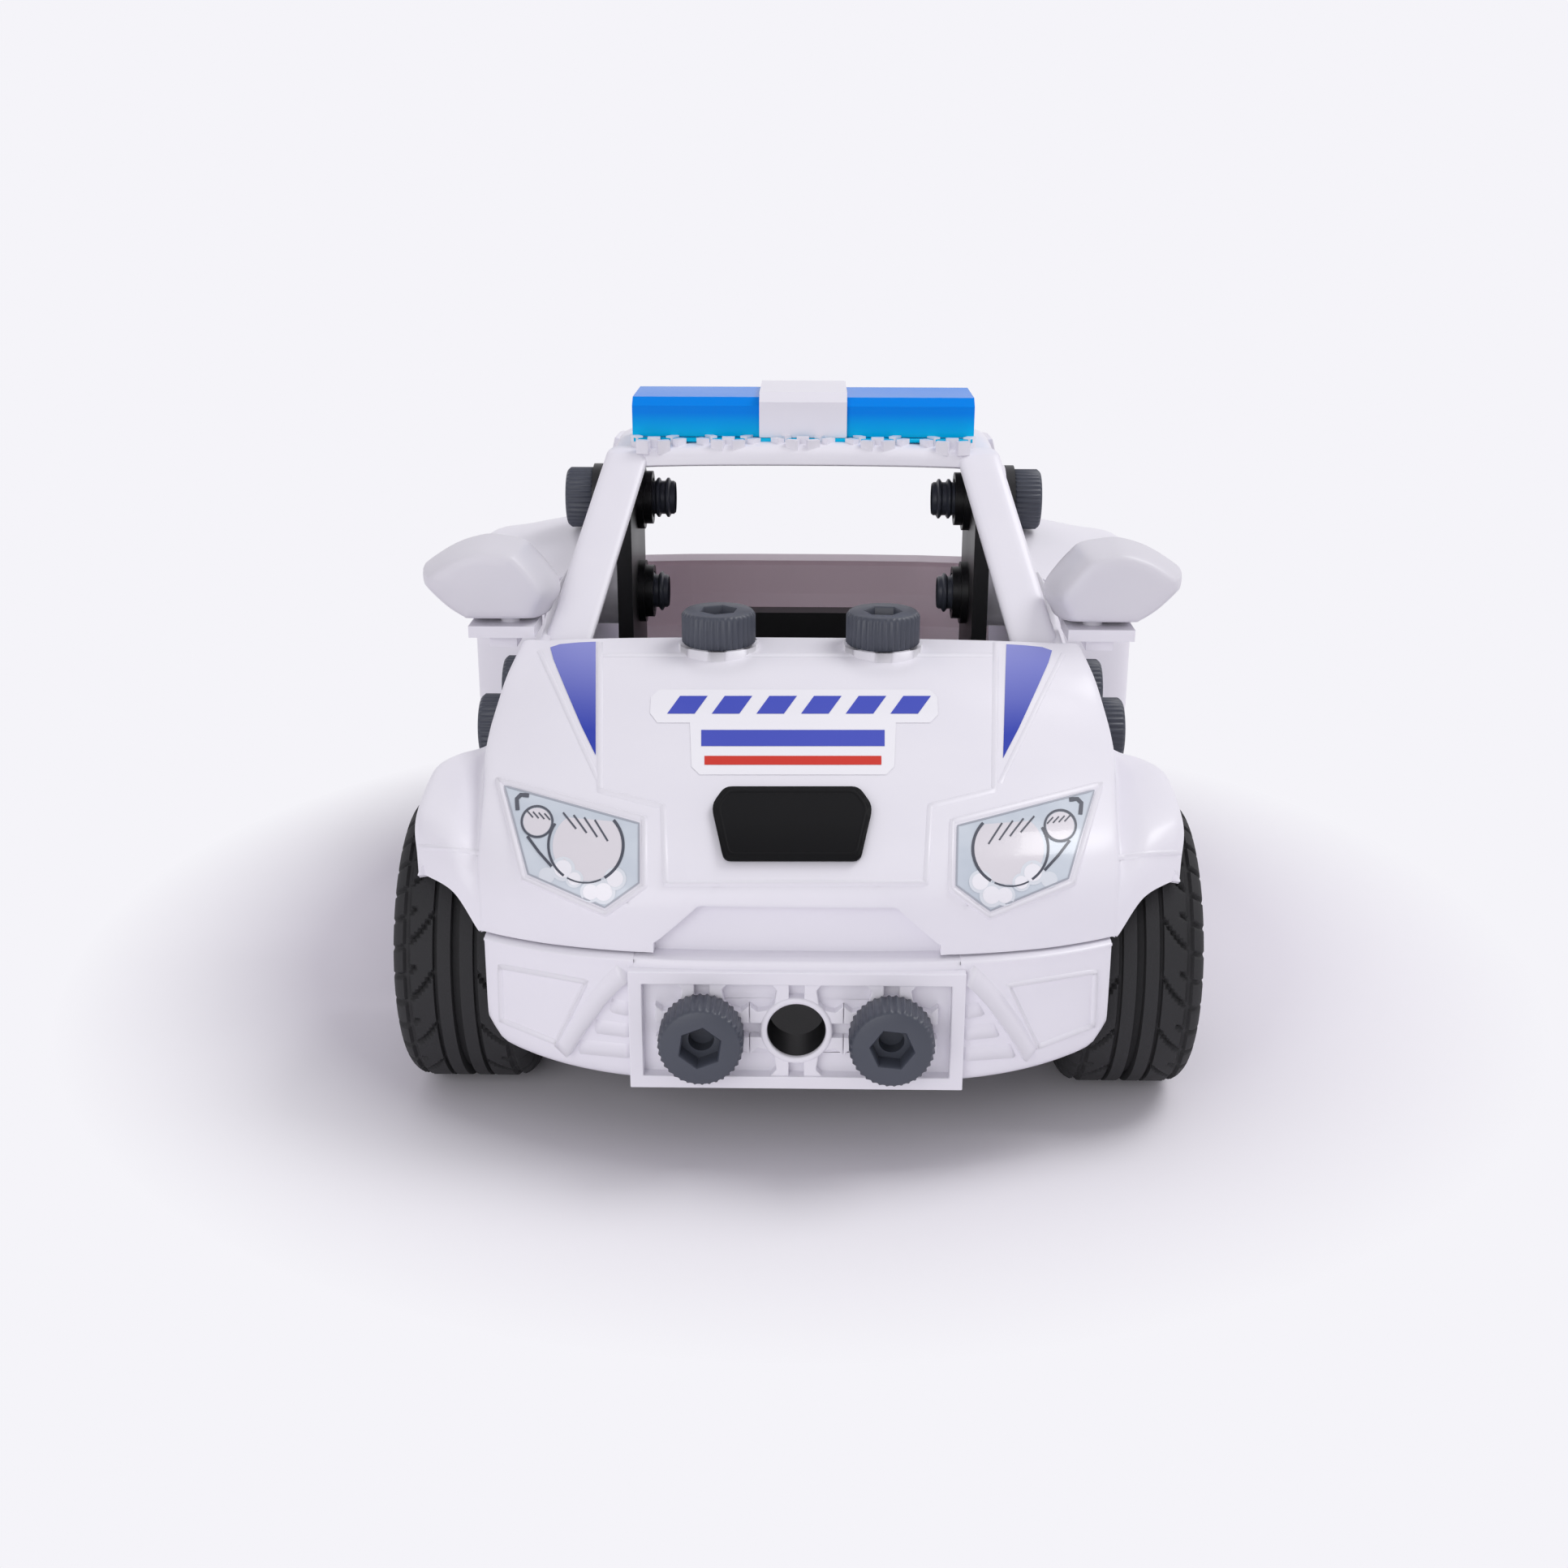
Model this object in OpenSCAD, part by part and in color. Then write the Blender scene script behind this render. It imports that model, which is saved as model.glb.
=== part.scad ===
// Toy police car, a bolt-together kit of moulded panels on a black tray.
// Millimetres, +Z up, the car faces -Y, its own left side is +X.
// Places along the car are measured back from the face of the front bumper plate.

/* [Overall] */
// Overall length over the bumper bolt heads
car_l = 252; // [246:1:270]
// Spacing of the bolt holes
pitch = 18; // [17:0.5:20]
// Diameter of a clearance hole for a bolt
hole_d = 11.2; // [11:0.1:12]
// Wall of the moulded panels
wall = 2.2; // [1.8:0.1:2.6]

/* [Bolts] */
// Diameter of a knurled bolt head
head_d = 16.2; // [15:0.1:17]
// Length of a knurled bolt head
head_l = 7.3; // [6:0.1:8.5]
// Diameter of the bolt shank
shank_d = 10; // [9:0.1:10.4]
// Diameter over the thread ridges
thread_d = 10.7; // [10.5:0.1:10.8]
// Corner to corner size of the hexagon socket
socket_d = 8.2; // [7:0.1:9]
// Depth of the hexagon socket
socket_depth = 4; // [3:0.1:5]
// Length of the bolt shanks in the roof, the doors and the quarters
side_shank_l = 22; // [21:0.5:23]
// Length of the bolt shanks in the cowl and the bumpers
plate_shank_l = 20; // [18:0.5:22]
// Diameter of a nut flange
nut_d = 17; // [15:0.5:18]
// Height of a nut
nut_h = 4; // [3:0.5:6]

/* [Wheels] */
// Radius of the tyres
tyre_r = 30; // [28:0.5:30.5]
// Width of the tyres
tyre_w = 26; // [22:0.5:27]
// Radius of the tyre seat on the rim
rim_r = 20; // [18:0.5:22]
// How far the front tyres stand out from the body's side
front_tyre_out = 15.4; // [14.6:0.2:18]
// How far the rear tyres stand out from the body's side
rear_tyre_out = 24.4; // [22.4:0.2:24.8]
// Place of the front axle
front_axle_y = 45.5; // [45:0.5:46]

/* [Body] */
// Half width of the body at the doors
body_half_w = 65.6; // [64:0.2:67]
// How far the front wheel arches stand out from the body's side
arch_out = 11.8; // [9.4:0.2:14]
// Half width over the rear wheel arches
hip_half_w = 92; // [90:0.5:95]
// Height of the lower edge of the nose
nose_z = 44.6; // [43.5:0.1:46]
// Height of the bonnet at the windscreen
cowl_z = 86.5; // [84:0.5:88]
// Length of the bonnet
bonnet_l = 82; // [80:0.5:84]
// How far the nose sweeps back at its corners
nose_bow = 10.5; // [8:0.5:11]
// Height of the roof crown
roof_z = 123; // [120:0.5:126]
// How far the roof's side lies inside the body's side
roof_inset = 15.6; // [14.6:0.2:16.6]
// Place of the roof's front edge
roof_front_y = 125; // [122:0.5:128]
// Length of the roof
roof_l = 72; // [69:0.5:74]

/* [Bumpers] */
// Width of the bolted plate of a bumper
plate_w = 64; // [60:0.5:68]
// Height of the bolted plate
plate_h = 24.5; // [22:0.5:26]
// Thickness of the bolted plate
plate_t = 6; // [5:0.5:7]
// Rim around the sunk face of the plate
plate_rim = 2.6; // [2:0.1:3.5]
// Half width over the bumper wings
wing_half_w = 61; // [58:0.5:61.5]

/* [Chassis] */
// Height of the underside of the tray
tray_z = 18; // [16:0.5:19]
// Thickness of the tray's floor
floor_t = 3; // [2:0.5:4]
// How far the tray's side lies inside the body's side
tray_inset = 16.6; // [16.6:0.2:18.6]
// Thickness of the tray's side walls
tray_wall = 4; // [3:0.5:5]
// Height of the tray's rim
tray_top_z = 40; // [39:0.5:41]

/* [Light bar] */
// Half width of the light bar
bar_half_w = 41.5; // [38:0.5:43]
// Depth of the light bar from front to back
bar_l = 26; // [22:0.5:28]
// Height of the light bar's lens
bar_h = 9.2; // [8:0.2:11]
// Half width of the strap over the light bar
strap_half_w = 10.6; // [8:0.2:12]

/* [Mirrors] */
// How far a mirror's pivot lies outside the body's side
mirror_out = 0.4; // [0:0.1:2.4]
// Place of the mirror pivots along the car
mirror_y = 90; // [89:0.5:94]
// Underside of the mirror heads
mirror_z = 88.3; // [88:0.1:90]
// Width of a mirror head
mirror_w = 31; // [28:0.5:33]
// Height of a mirror head
mirror_h = 18.3; // [16:0.5:20]
// Depth of a mirror head
mirror_l = 14; // [12:0.5:16]

/* [Hidden] */
$fn = 48;

// Clearances shared by every fit
cut = 1;             // overrun of a cut past the face it leaves
weld = 1;            // how far two volumes of one moulding reach into each other
run_gap = 0.06;      // radial gap of a wheel on its bolt and a mirror on its pin
seat_gap = 0.3;      // gap between neighbouring mouldings
fit_gap = 0.1;       // radial gap of parts that slide together for good
well_gap = 2.3;      // air between a tyre and its wheel well
boss_land = 1;       // boss showing all round a bolt head
boss_d = head_d + 2 * boss_land;

// Places worked out from the driving sizes
plate_y = -car_l / 2 + head_l;
rear_face_y = car_l - 2 * head_l;
axle_z = tyre_r;
front_tyre_x = body_half_w + front_tyre_out;
rear_tyre_x = body_half_w + rear_tyre_out;
arch_half_w = body_half_w + arch_out;
roof_half_w = body_half_w - roof_inset;
tray_half_w = body_half_w - tray_inset;
mirror_x = body_half_w + mirror_out;
wheelbase_pitches = 9;               // both axles lie on the hole grid
rear_axle_y = front_axle_y + wheelbase_pitches * pitch;
bumper_top_z = nose_z - seat_gap;
floor_z = tray_z + floor_t;
well_r = tyre_r + well_gap;
bracket_t = 4;                       // black bracket plate
rail_inset = 4.6;                    // outer face of the door rail inside the body's side
rail_x = body_half_w - rail_inset;
boss_top_z = cowl_z + 0.1 * wall;    // top of the cowl bosses
cowl_bolt_y = bonnet_l - pitch / 3;  // row of the cowl bolts
bracket_z = cowl_z - 3 * wall;       // top of the cowl bracket
door_bolt_z = 55.5;                  // row of the door bolts
door_bolt_y = 113;                   // place of the front bolt of a door
door_bolt_ys = [door_bolt_y, door_bolt_y + 2 * pitch];
roof_bolt = [183, 99.6];             // place and height of the roof bolts
quarter_bolt = [181, 74];            // place and height of the quarter bolts
washer_t = 2.3;                      // washer under a roof bolt head
hip_inset = 9.1;                     // inner wall of the rear quarters inside the body's side
hip_in_x = body_half_w - hip_inset;
door_pad_out = 5.1;                  // door bolt pads outside the body's side
door_pad_x = body_half_w + door_pad_out;
quarter_pad_out = 2.5;               // quarter bolt pads outside the hip's inner wall
quarter_pad_x = hip_in_x + quarter_pad_out;
roof_pad_inset = 1.9;                // roof bolt pads inside the hip's inner wall
roof_pad_x = hip_in_x - roof_pad_inset;
hub_face_shares = [0.33, 0.98];      // hub faces in from the tyre's outer face, of its width

// Smooth curve through neighbours a, b, c and d, between b and c
function blend(a, b, c, d, t) = (2 * b + (c - a) * t + (2 * a - 5 * b + 4 * c - d) * t * t
    + (3 * b - a - 3 * c + d) * t * t * t) / 2;
function pick(list, i) = list[max(0, min(len(list) - 1, i))];
// The same rows with count steps between each pair, on a smooth curve
function refine(rows, count) = [
    for (i = [0 : len(rows) - 2]) for (s = [0 : count - 1])
        blend(pick(rows, i - 1), rows[i], rows[i + 1], pick(rows, i + 2), s / count),
    rows[len(rows) - 1]];
function mix(a, b, share) = a + (b - a) * share;
function flip_x(p) = [-p.x, p.y, p.z];
// A full row from its right half, which starts on the middle plane
function whole(half) = concat([for (i = [len(half) - 1 : -1 : 1]) flip_x(half[i])], half);
function face_normal(rows, j, i) = let(
    along = pick(rows, j + 1)[i] - pick(rows, j - 1)[i],
    across = pick(rows[j], i + 1) - pick(rows[j], i - 1),
    n = cross(across, along)) n / norm(n);
function quad(a, b, c, d) = [[a, b, c], [a, c, d]];

// A moulded sheet: a grid of outer points, thickened inwards
module sheet(rows, t) {
    m = len(rows);
    n = len(rows[0]);
    inner = [for (j = [0 : m - 1]) for (i = [0 : n - 1]) rows[j][i] - t * face_normal(rows, j, i)];
    o = function (j, i) j * n + i;
    q = function (j, i) m * n + j * n + i;
    faces = concat(
        [for (j = [0 : m - 2]) for (i = [0 : n - 2])
            each quad(o(j, i), o(j + 1, i), o(j + 1, i + 1), o(j, i + 1))],
        [for (j = [0 : m - 2]) for (i = [0 : n - 2])
            each quad(q(j, i), q(j, i + 1), q(j + 1, i + 1), q(j + 1, i))],
        [for (i = [0 : n - 2]) each quad(o(0, i), o(0, i + 1), q(0, i + 1), q(0, i))],
        [for (i = [0 : n - 2]) each quad(o(m - 1, i + 1), o(m - 1, i), q(m - 1, i), q(m - 1, i + 1))],
        [for (j = [0 : m - 2]) each quad(o(j + 1, 0), o(j, 0), q(j, 0), q(j + 1, 0))],
        [for (j = [0 : m - 2])
            each quad(o(j, n - 1), o(j + 1, n - 1), q(j + 1, n - 1), q(j, n - 1))]);
    polyhedron(concat([for (r = rows) each r], inner), faces);
}

// A closed form lofted through rings of points, flat at both ends
module loft(rings) {
    m = len(rings);
    n = len(rings[0]);
    o = function (j, i) j * n + i % n;
    faces = concat(
        [for (j = [0 : m - 2]) for (i = [0 : n - 1])
            each quad(o(j, i), o(j + 1, i), o(j + 1, i + 1), o(j, i + 1))],
        [[for (i = [0 : n - 1]) o(0, i)]],
        [[for (i = [n - 1 : -1 : 0]) o(m - 1, i)]]);
    polyhedron([for (r = rings) each r], faces);
}

module in_car() { translate([0, plate_y, 0]) children(); }
module on_right() { mirror([1, 0, 0]) children(); }
module both_sides() {
    children();
    on_right() children();
}
// Stands a part built along +Z on the left side of the car, with +Z outwards
module outwards(x, y, z) { translate([x, y, z]) rotate([0, 90, 0]) children(); }
// Stands a part built along +Z on the front plate, with +Z forwards
module forwards(x, z) { translate([x, 0, z]) rotate([90, 0, 0]) children(); }

// Knurled bolt: its head stands on z = 0 and its shank hangs below
module bolt(shank_l) {
    pilot_d = 0.6 * socket_d;
    ridge_h = 0.12 * shank_d;
    ridge_step = 2.2 * ridge_h;
    ridges = 4;
    color("dimgray") difference() {
        union() {
            cylinder(d = head_d, h = head_l);
            translate([0, 0, -shank_l]) cylinder(d = shank_d, h = shank_l + weld);
            for (i = [0 : ridges - 1])
                translate([0, 0, -shank_l + ridge_h + i * ridge_step]) cylinder(d = thread_d, h = ridge_h);
        }
        translate([0, 0, head_l - socket_depth]) cylinder(d = socket_d, h = socket_depth + cut, $fn = 6);
        translate([0, 0, -shank_l / 2]) cylinder(d = pilot_d, h = shank_l / 2 + head_l);
    }
}

// Black nut: its flange lies on z = 0 and it hangs below
module nut() {
    flange_share = 0.45;
    neck_share = 0.84;
    color("black") difference() {
        union() {
            translate([0, 0, -flange_share * nut_h]) cylinder(d = nut_d, h = flange_share * nut_h);
            translate([0, 0, -nut_h]) cylinder(d = neck_share * nut_d, h = nut_h);
        }
        translate([0, 0, -nut_h - cut]) cylinder(d = thread_d + 2 * fit_gap, h = nut_h + 2 * cut);
    }
}

// Round boss with four notches in its top, from z = 0 upwards
module notched_boss(h) {
    notch_w = 0.2 * boss_d;
    notch_depth = 0.5 * wall;
    difference() {
        cylinder(d = boss_d, h = h);
        for (a = [0, 90])
            rotate([0, 0, a]) translate([-boss_d / 2 - cut, -notch_w / 2, h - notch_depth])
                cube([boss_d + 2 * cut, notch_w, notch_depth + cut]);
    }
}
module bolt_hole(from, to) {
    translate([0, 0, from - cut]) cylinder(d = hole_d, h = to - from + 2 * cut);
}

// How far a point of the nose or a bumper lies behind its middle
bow_power = 3.35;
function bow(x, depth) = depth * pow(abs(x) / wing_half_w, bow_power);

// Bonnet: each station holds shares of the bonnet length, the bow, the body half width, the rise
// of the middle, the edge, the arch root, the arch crown and the lip, and the arch half width
hood_rise = cowl_z - nose_z;
bonnet_shares = [
    [0,     0.95, 0.927, 0,     0,     0,     0.093, 0.19,  0.975],
    [0.012, 1,    0.930, 0.212, 0.177, 0.148, 0.300, 0.25,  0.982],
    [0.073, 1,    0.938, 0.339, 0.308, 0.272, 0.396, 0.332, 0.994],
    [0.159, 0.9,  0.945, 0.470, 0.427, 0.368, 0.453, 0.387, 0.997],
    [0.341, 0.76, 0.968, 0.613, 0.547, 0.453, 0.496, 0.425, 1],
    [0.488, 0.57, 0.991, 0.714, 0.606, 0.494, 0.515, 0.434, 0.994],
    [0.634, 0.38, 1,     0.797, 0.666, 0.523, 0.511, 0.415, 0.959],
    [0.756, 0.19, 0.995, 0.869, 0.737, 0.570, 0.501, 0.391, 0.901],
    [0.878, 0,    0.976, 0.940, 0.857, 0.666, 0.523, 0.368, 0.854],
    [1,     0,    0.945, 1,     0.964, 0.761, 0.558, 0.368, 0.853]];
// Across the hood: share of the half width, and share of the drop to its edge
hood_shares = [[0, 0], [0.28, 0.04], [0.54, 0.17], [0.76, 0.42], [0.91, 0.7], [1, 1]];
// Across the arch: share of the way out, then the two heights that it lies between
arch_shares = [[0.06, 0.5], [0.12, 1], [0.45, 0.8], [0.85, 1], [1, 0.4], [1, 1]];
function bonnet_half(s) = let(
    w = s[2] * body_half_w,
    out = s[8] * arch_half_w - w,
    z_mid = nose_z + s[3] * hood_rise,
    z_edge = nose_z + s[4] * hood_rise,
    z_root = nose_z + s[5] * hood_rise,
    z_crown = nose_z + s[6] * hood_rise,
    z_lip = nose_z + s[7] * hood_rise,
    ends = [[z_edge, z_root], [z_edge, z_root], [z_root, z_crown], [z_root, z_crown],
        [z_crown, z_lip], [z_crown, z_lip]],
    flat = concat(
        [for (h = hood_shares) [h[0] * w, mix(z_mid, z_edge, h[1])]],
        [for (i = [0 : len(arch_shares) - 1])
            [w + arch_shares[i][0] * out, mix(ends[i][0], ends[i][1], arch_shares[i][1])]]))
    [for (p = flat) [p[0], s[0] * bonnet_l + bow(p[0], s[1] * nose_bow), p[1]]];

module bonnet() {
    rows = refine([for (s = bonnet_shares) whole(bonnet_half(s))], 2);
    color("white") in_car() difference() {
        union() {
            sheet(rows, wall);
            for (x = [-pitch, pitch])
                translate([x, cowl_bolt_y, bracket_z]) notched_boss(boss_top_z - bracket_z);
        }
        for (x = [-pitch, pitch])
            translate([x, cowl_bolt_y, 0]) bolt_hole(bracket_z, boss_top_z);
    }
}

// Roof: share of its length, then of its rise over the front lip, half width and edge drop
roof_shares = [
    [0,    -0.042, 0.90, 0.012], [0.02, -0.014, 0.94, 0.020], [0.1, -0.003, 0.96, 0.030],
    [0.42, 0,      0.98, 0.036], [0.74, -0.008, 1,    0.038], [0.93, -0.028, 1,   0.034],
    [1,    -0.057, 0.98, 0.030]];
roof_bow_share = 0.6;
roof_across_shares = [[0, 0], [0.4, 0.06], [0.7, 0.25], [0.88, 0.55], [0.97, 1], [1, 2]];
function roof_half(s) = [for (a = roof_across_shares) [
    a[0] * s[2] * roof_half_w,
    roof_front_y + s[0] * roof_l
        + roof_bow_share * bow(a[0] * s[2] * roof_half_w, nose_bow) * (1 - s[0]),
    roof_z * (1 + s[1] - a[1] * s[3])]];

// Pillar: a bar between a lower and an upper quadrilateral
module pillar(low, high) { loft([low, high]); }

module cabin_roof() {
    rows = refine([for (s = roof_shares) whole(roof_half(s))], 2);
    lip_z = roof_z * (1 + roof_shares[0][1]);
    foot_out = body_half_w - 2.8 * wall;
    foot_in = foot_out - 5 * wall;
    head_out = roof_half_w - 1.5 * wall;
    head_in = head_out - 4.4 * wall;
    foot_y = bonnet_l + seat_gap;
    foot_z = bracket_z;
    post_d = 3 * wall;
    head_y = roof_front_y + wall;
    top_z = lip_z + 1.2 * wall;
    // Rear posts: top and foot of their outer faces, as places along the car
    rear_top_shares = [0.58, 0.97];
    rear_top_ys = [for (share = rear_top_shares) roof_front_y + share * roof_l];
    rear_foot_ys = [rear_top_ys[0] + 4 * wall, rear_top_ys[1] + 4 * wall];
    rear_top_x = roof_half_w - 0.3 * wall;
    rear_foot_z = roof_bolt[1] - boss_d / 2 + 0.5 * wall;
    color("white") in_car() difference() {
        union() {
            sheet(rows, wall);
            both_sides() {
                pillar([[foot_in, foot_y, foot_z], [foot_out, foot_y, foot_z],
                        [foot_out, foot_y + post_d, foot_z], [foot_in, foot_y + post_d, foot_z]],
                    [[head_in, head_y, top_z], [head_out, head_y, top_z],
                        [head_out, head_y + post_d, top_z], [head_in, head_y + post_d, top_z]]);
                pillar([[hip_in_x - seat_gap - wall, rear_foot_ys[0], rear_foot_z],
                        [hip_in_x - seat_gap, rear_foot_ys[0], rear_foot_z],
                        [hip_in_x - seat_gap, rear_foot_ys[1], rear_foot_z],
                        [hip_in_x - seat_gap - wall, rear_foot_ys[1], rear_foot_z]],
                    [[rear_top_x - wall, rear_top_ys[0], top_z - wall],
                        [rear_top_x, rear_top_ys[0], top_z - wall],
                        [rear_top_x, rear_top_ys[1], top_z - 2 * wall],
                        [rear_top_x - wall, rear_top_ys[1], top_z - 2 * wall]]);
                outwards(tray_half_w, roof_bolt[0], roof_bolt[1])
                    cylinder(d = boss_d, h = roof_pad_x - tray_half_w);
            }
        }
        both_sides() outwards(0, roof_bolt[0], roof_bolt[1]) bolt_hole(tray_half_w, roof_pad_x);
        // Flat seat for the washer on the leaning post
        both_sides() outwards(roof_pad_x, roof_bolt[0], roof_bolt[1])
            cylinder(d = boss_d + 2 * seat_gap, h = washer_t + head_l);
        for (x = [-pitch, pitch])
            translate([x, bar_mid_y, 0]) cylinder(d = peg_d + 2 * fit_gap, h = 2 * roof_z);
    }
}

// Doors: how far the skin stands out, by station, and its curve from sill to foot
door_from_y = bonnet_l + seat_gap;
door_to_y = rear_axle_y - well_r - 7.5 * wall;
door_shares = [[0, 0.55], [0.2, 0.9], [0.5, 1], [0.8, 1], [1, 0.95]];
door_across_shares = [[0, 0], [0.28, 0.09], [0.6, 0.22], [0.9, 0.4], [1, 0.56], [0.95, 0.73],
    [0.7, 0.9], [0.4, 1]];
door_bulge = 7.6;     // how far the skin stands out from its top edge
door_top_z = cowl_z - 0.7 * wall;
door_foot_z = tray_z + 3 * wall;
door_top_share = 0.945;
door_top_x = door_top_share * body_half_w;
module door() {
    rows = refine([for (s = door_shares) [for (a = door_across_shares) [
        door_top_x + a[0] * s[1] * door_bulge,
        mix(door_from_y, door_to_y, s[0]),
        mix(door_top_z, door_foot_z, a[1])]]], 2);
    color("white") in_car() difference() {
        union() {
            sheet(rows, wall);
            for (y = door_bolt_ys)
                outwards(rail_x, y, door_bolt_z) notched_boss(door_pad_x - rail_x);
        }
        for (y = door_bolt_ys) outwards(0, y, door_bolt_z) bolt_hole(rail_x, door_pad_x);
    }
}

// Rear quarter: share of its length, of its top height, of the way out to the hip and of the
// height of its lip
quarter_from_y = door_to_y + seat_gap;
quarter_to_y = rear_axle_y + well_r + 2 * wall;
quarter_top_z = 92;   // crown of the hip
quarter_shares = [
    [0,    0.940, 0.34, 0.42], [0.06, 0.948, 0.55, 0.40], [0.16, 0.972, 0.89, 0.40],
    [0.28, 0.994, 0.98, 0.55], [0.44, 1,     1,    0.64], [0.6,  0.990, 1,    0.67],
    [0.76, 0.962, 0.985, 0.64], [0.9, 0.913, 0.94, 0.54], [0.965, 0.88, 0.85, 0.46],
    [0.99, 0.860, 0.66, 0.44], [1,  0.850, 0.35, 0.44]];
// Across the quarter: share of the way out, and drop below its top in panel walls
quarter_across_shares = [[0, 10], [0, 1], [0.05, 0], [0.3, 0.8], [0.65, 1.9], [0.9, 2.6], [1, 4.4]];
function quarter_row(s) = let(
    z_top = s[1] * quarter_top_z,
    out = s[2] * (hip_half_w - hip_in_x),
    y = mix(quarter_from_y, quarter_to_y, s[0]),
    z_last = z_top - quarter_across_shares[6][1] * wall,
    z_lip = s[3] * quarter_top_z)
    concat([for (a = quarter_across_shares) [hip_in_x + a[0] * out, y, z_top - a[1] * wall]],
        [for (share = [0.35, 0.7, 1]) [hip_in_x + out, y, mix(z_last, z_lip, share)]]);
module rear_quarter() {
    rows = refine([for (s = quarter_shares) quarter_row(s)], 2);
    color("white") in_car() difference() {
        union() {
            sheet(rows, wall);
            outwards(tray_half_w, quarter_bolt[0], quarter_bolt[1])
                cylinder(d = boss_d, h = quarter_pad_x - tray_half_w);
        }
        outwards(0, quarter_bolt[0], quarter_bolt[1]) bolt_hole(tray_half_w, quarter_pad_x);
        // Wheel well
        outwards(rear_tyre_x - tyre_w - seat_gap, rear_axle_y, axle_z) cylinder(r = well_r, h = 2 * tyre_w);
    }
}

// Tailgate: a bowed wall between the quarters, from the rear bumper up to the rear window
tailgate_top_z = 76;  // lower edge of the rear window
tailgate_shares = [[0, 0.015], [0.25, 0], [0.6, 0.008], [0.92, 0.024], [1, 0.036]];
module tailgate() {
    half_w = hip_in_x - seat_gap;
    low_z = bumper_top_z + seat_gap;
    back_y = rear_face_y - 3 * wall;
    foot_l = 0.03 * car_l;
    x_shares = [1, 0.9, 0.6, 0.3, 0, -0.3, -0.6, -0.9, -1];
    rows = [for (r = tailgate_shares) [for (s = x_shares) [
        s * half_w,
        back_y - r[1] * car_l - 0.5 * bow(s * half_w, nose_bow),
        mix(low_z, tailgate_top_z, r[0])]]];
    color("white") in_car() union() {
        sheet(rows, wall);
        // Foot that stands on the tray
        translate([-tray_half_w, back_y - foot_l - 2 * wall, tray_top_z])
            cube([2 * tray_half_w, foot_l - wall, low_z + wall - tray_top_z]);
    }
}

// Bumper: a bowed skin and the bolted plate with its three holes, built as the front one
module bumper() {
    low_z = axle_z - plate_h / 2;
    rise = 2.2 * wall;
    x_shares = [-1, -0.93, -0.82, -0.66, -0.5, -0.25, 0, 0.25, 0.5, 0.66, 0.82, 0.93, 1];
    // Up the skin: share of the height and of the roll back at its edges
    up_shares = [[0, 1], [0.1, 0.25], [0.5, 0], [0.9, 0.1], [1, 0.4]];
    rows = [for (u = up_shares) [for (s = x_shares) [
        s * wing_half_w,
        0.5 * wall * (1 + u[1]) + bow(s * wing_half_w, nose_bow),
        mix(low_z + rise * pow(abs(s), 4), bumper_top_z, u[0])]]];
    color("white") difference() {
        union() {
            sheet(rows, wall);
            difference() {
                translate([-plate_w / 2, 0, low_z]) cube([plate_w, plate_t, plate_h]);
                translate([-plate_w / 2 + plate_rim, -cut, low_z + plate_rim])
                    cube([plate_w - 2 * plate_rim, plate_rim + cut, plate_h - 2 * plate_rim]);
            }
            for (i = [-1 : 1])
                translate([i * pitch, plate_t, axle_z]) rotate([90, 0, 0]) notched_boss(plate_t);
        }
        for (i = [-1 : 1]) translate([i * pitch, 0, axle_z]) rotate([90, 0, 0]) bolt_hole(-2 * plate_t, 0);
    }
}
module front_bumper() { in_car() bumper(); }
module turned_to_rear() { rotate([0, 0, 180]) in_car() children(); }
module rear_bumper() { turned_to_rear() bumper(); }

// Tray: a floor plate with a bolted wall at each end, and a side wall that stands on each edge
tray_from_y = front_axle_y - boss_d;
tray_to_y = rear_axle_y + boss_d;
tray_in_x = tray_half_w - tray_wall;
module chassis() {
    back_y = rear_face_y - plate_t;
    end_half_w = plate_w / 2;
    color("#222222") in_car() difference() {
        union() {
            translate([-end_half_w, plate_t, tray_z]) cube([2 * end_half_w, back_y - plate_t, floor_t]);
            translate([-tray_half_w, tray_from_y, tray_z])
                cube([2 * tray_half_w, tray_to_y - tray_from_y, floor_t]);
            for (y = [plate_t, back_y - tray_wall]) translate([-end_half_w, y, tray_z])
                cube([2 * end_half_w, tray_wall, tray_top_z - tray_z]);
        }
        for (i = [-1 : 1]) translate([i * pitch, back_y + cut, axle_z])
            rotate([90, 0, 0]) cylinder(d = hole_d, h = back_y);
        for (i = [1 : wheelbase_pitches - 1]) for (x = [-pitch, 0, pitch])
            translate([x, front_axle_y + i * pitch, tray_z - cut])
                cylinder(d = hole_d, h = floor_t + 2 * cut);
    }
}
module tray_side() {
    color("#222222") in_car() difference() {
        translate([tray_in_x, tray_from_y, floor_z])
            cube([tray_wall, tray_to_y - tray_from_y, tray_top_z - floor_z]);
        for (y = [front_axle_y, rear_axle_y]) outwards(tray_in_x - cut, y, axle_z)
            cylinder(d = thread_d + 2 * fit_gap, h = tray_wall + 2 * cut);
    }
}

// Arch of black plate that carries the cowl bolts
module cowl_bracket() {
    half_w = 1.8 * pitch;
    depth = 0.75 * pitch;
    color("#222222") in_car() difference() {
        translate([-half_w, cowl_bolt_y - depth / 2, floor_z])
            cube([2 * half_w, depth, bracket_z - floor_z]);
        translate([-half_w + bracket_t, cowl_bolt_y - depth / 2 - cut, floor_z - cut])
            cube([2 * (half_w - bracket_t), depth + 2 * cut, bracket_z - bracket_t - floor_z + cut]);
        for (x = [-pitch, pitch]) translate([x, cowl_bolt_y, 0]) bolt_hole(bracket_z - bracket_t, bracket_z);
    }
}

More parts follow.
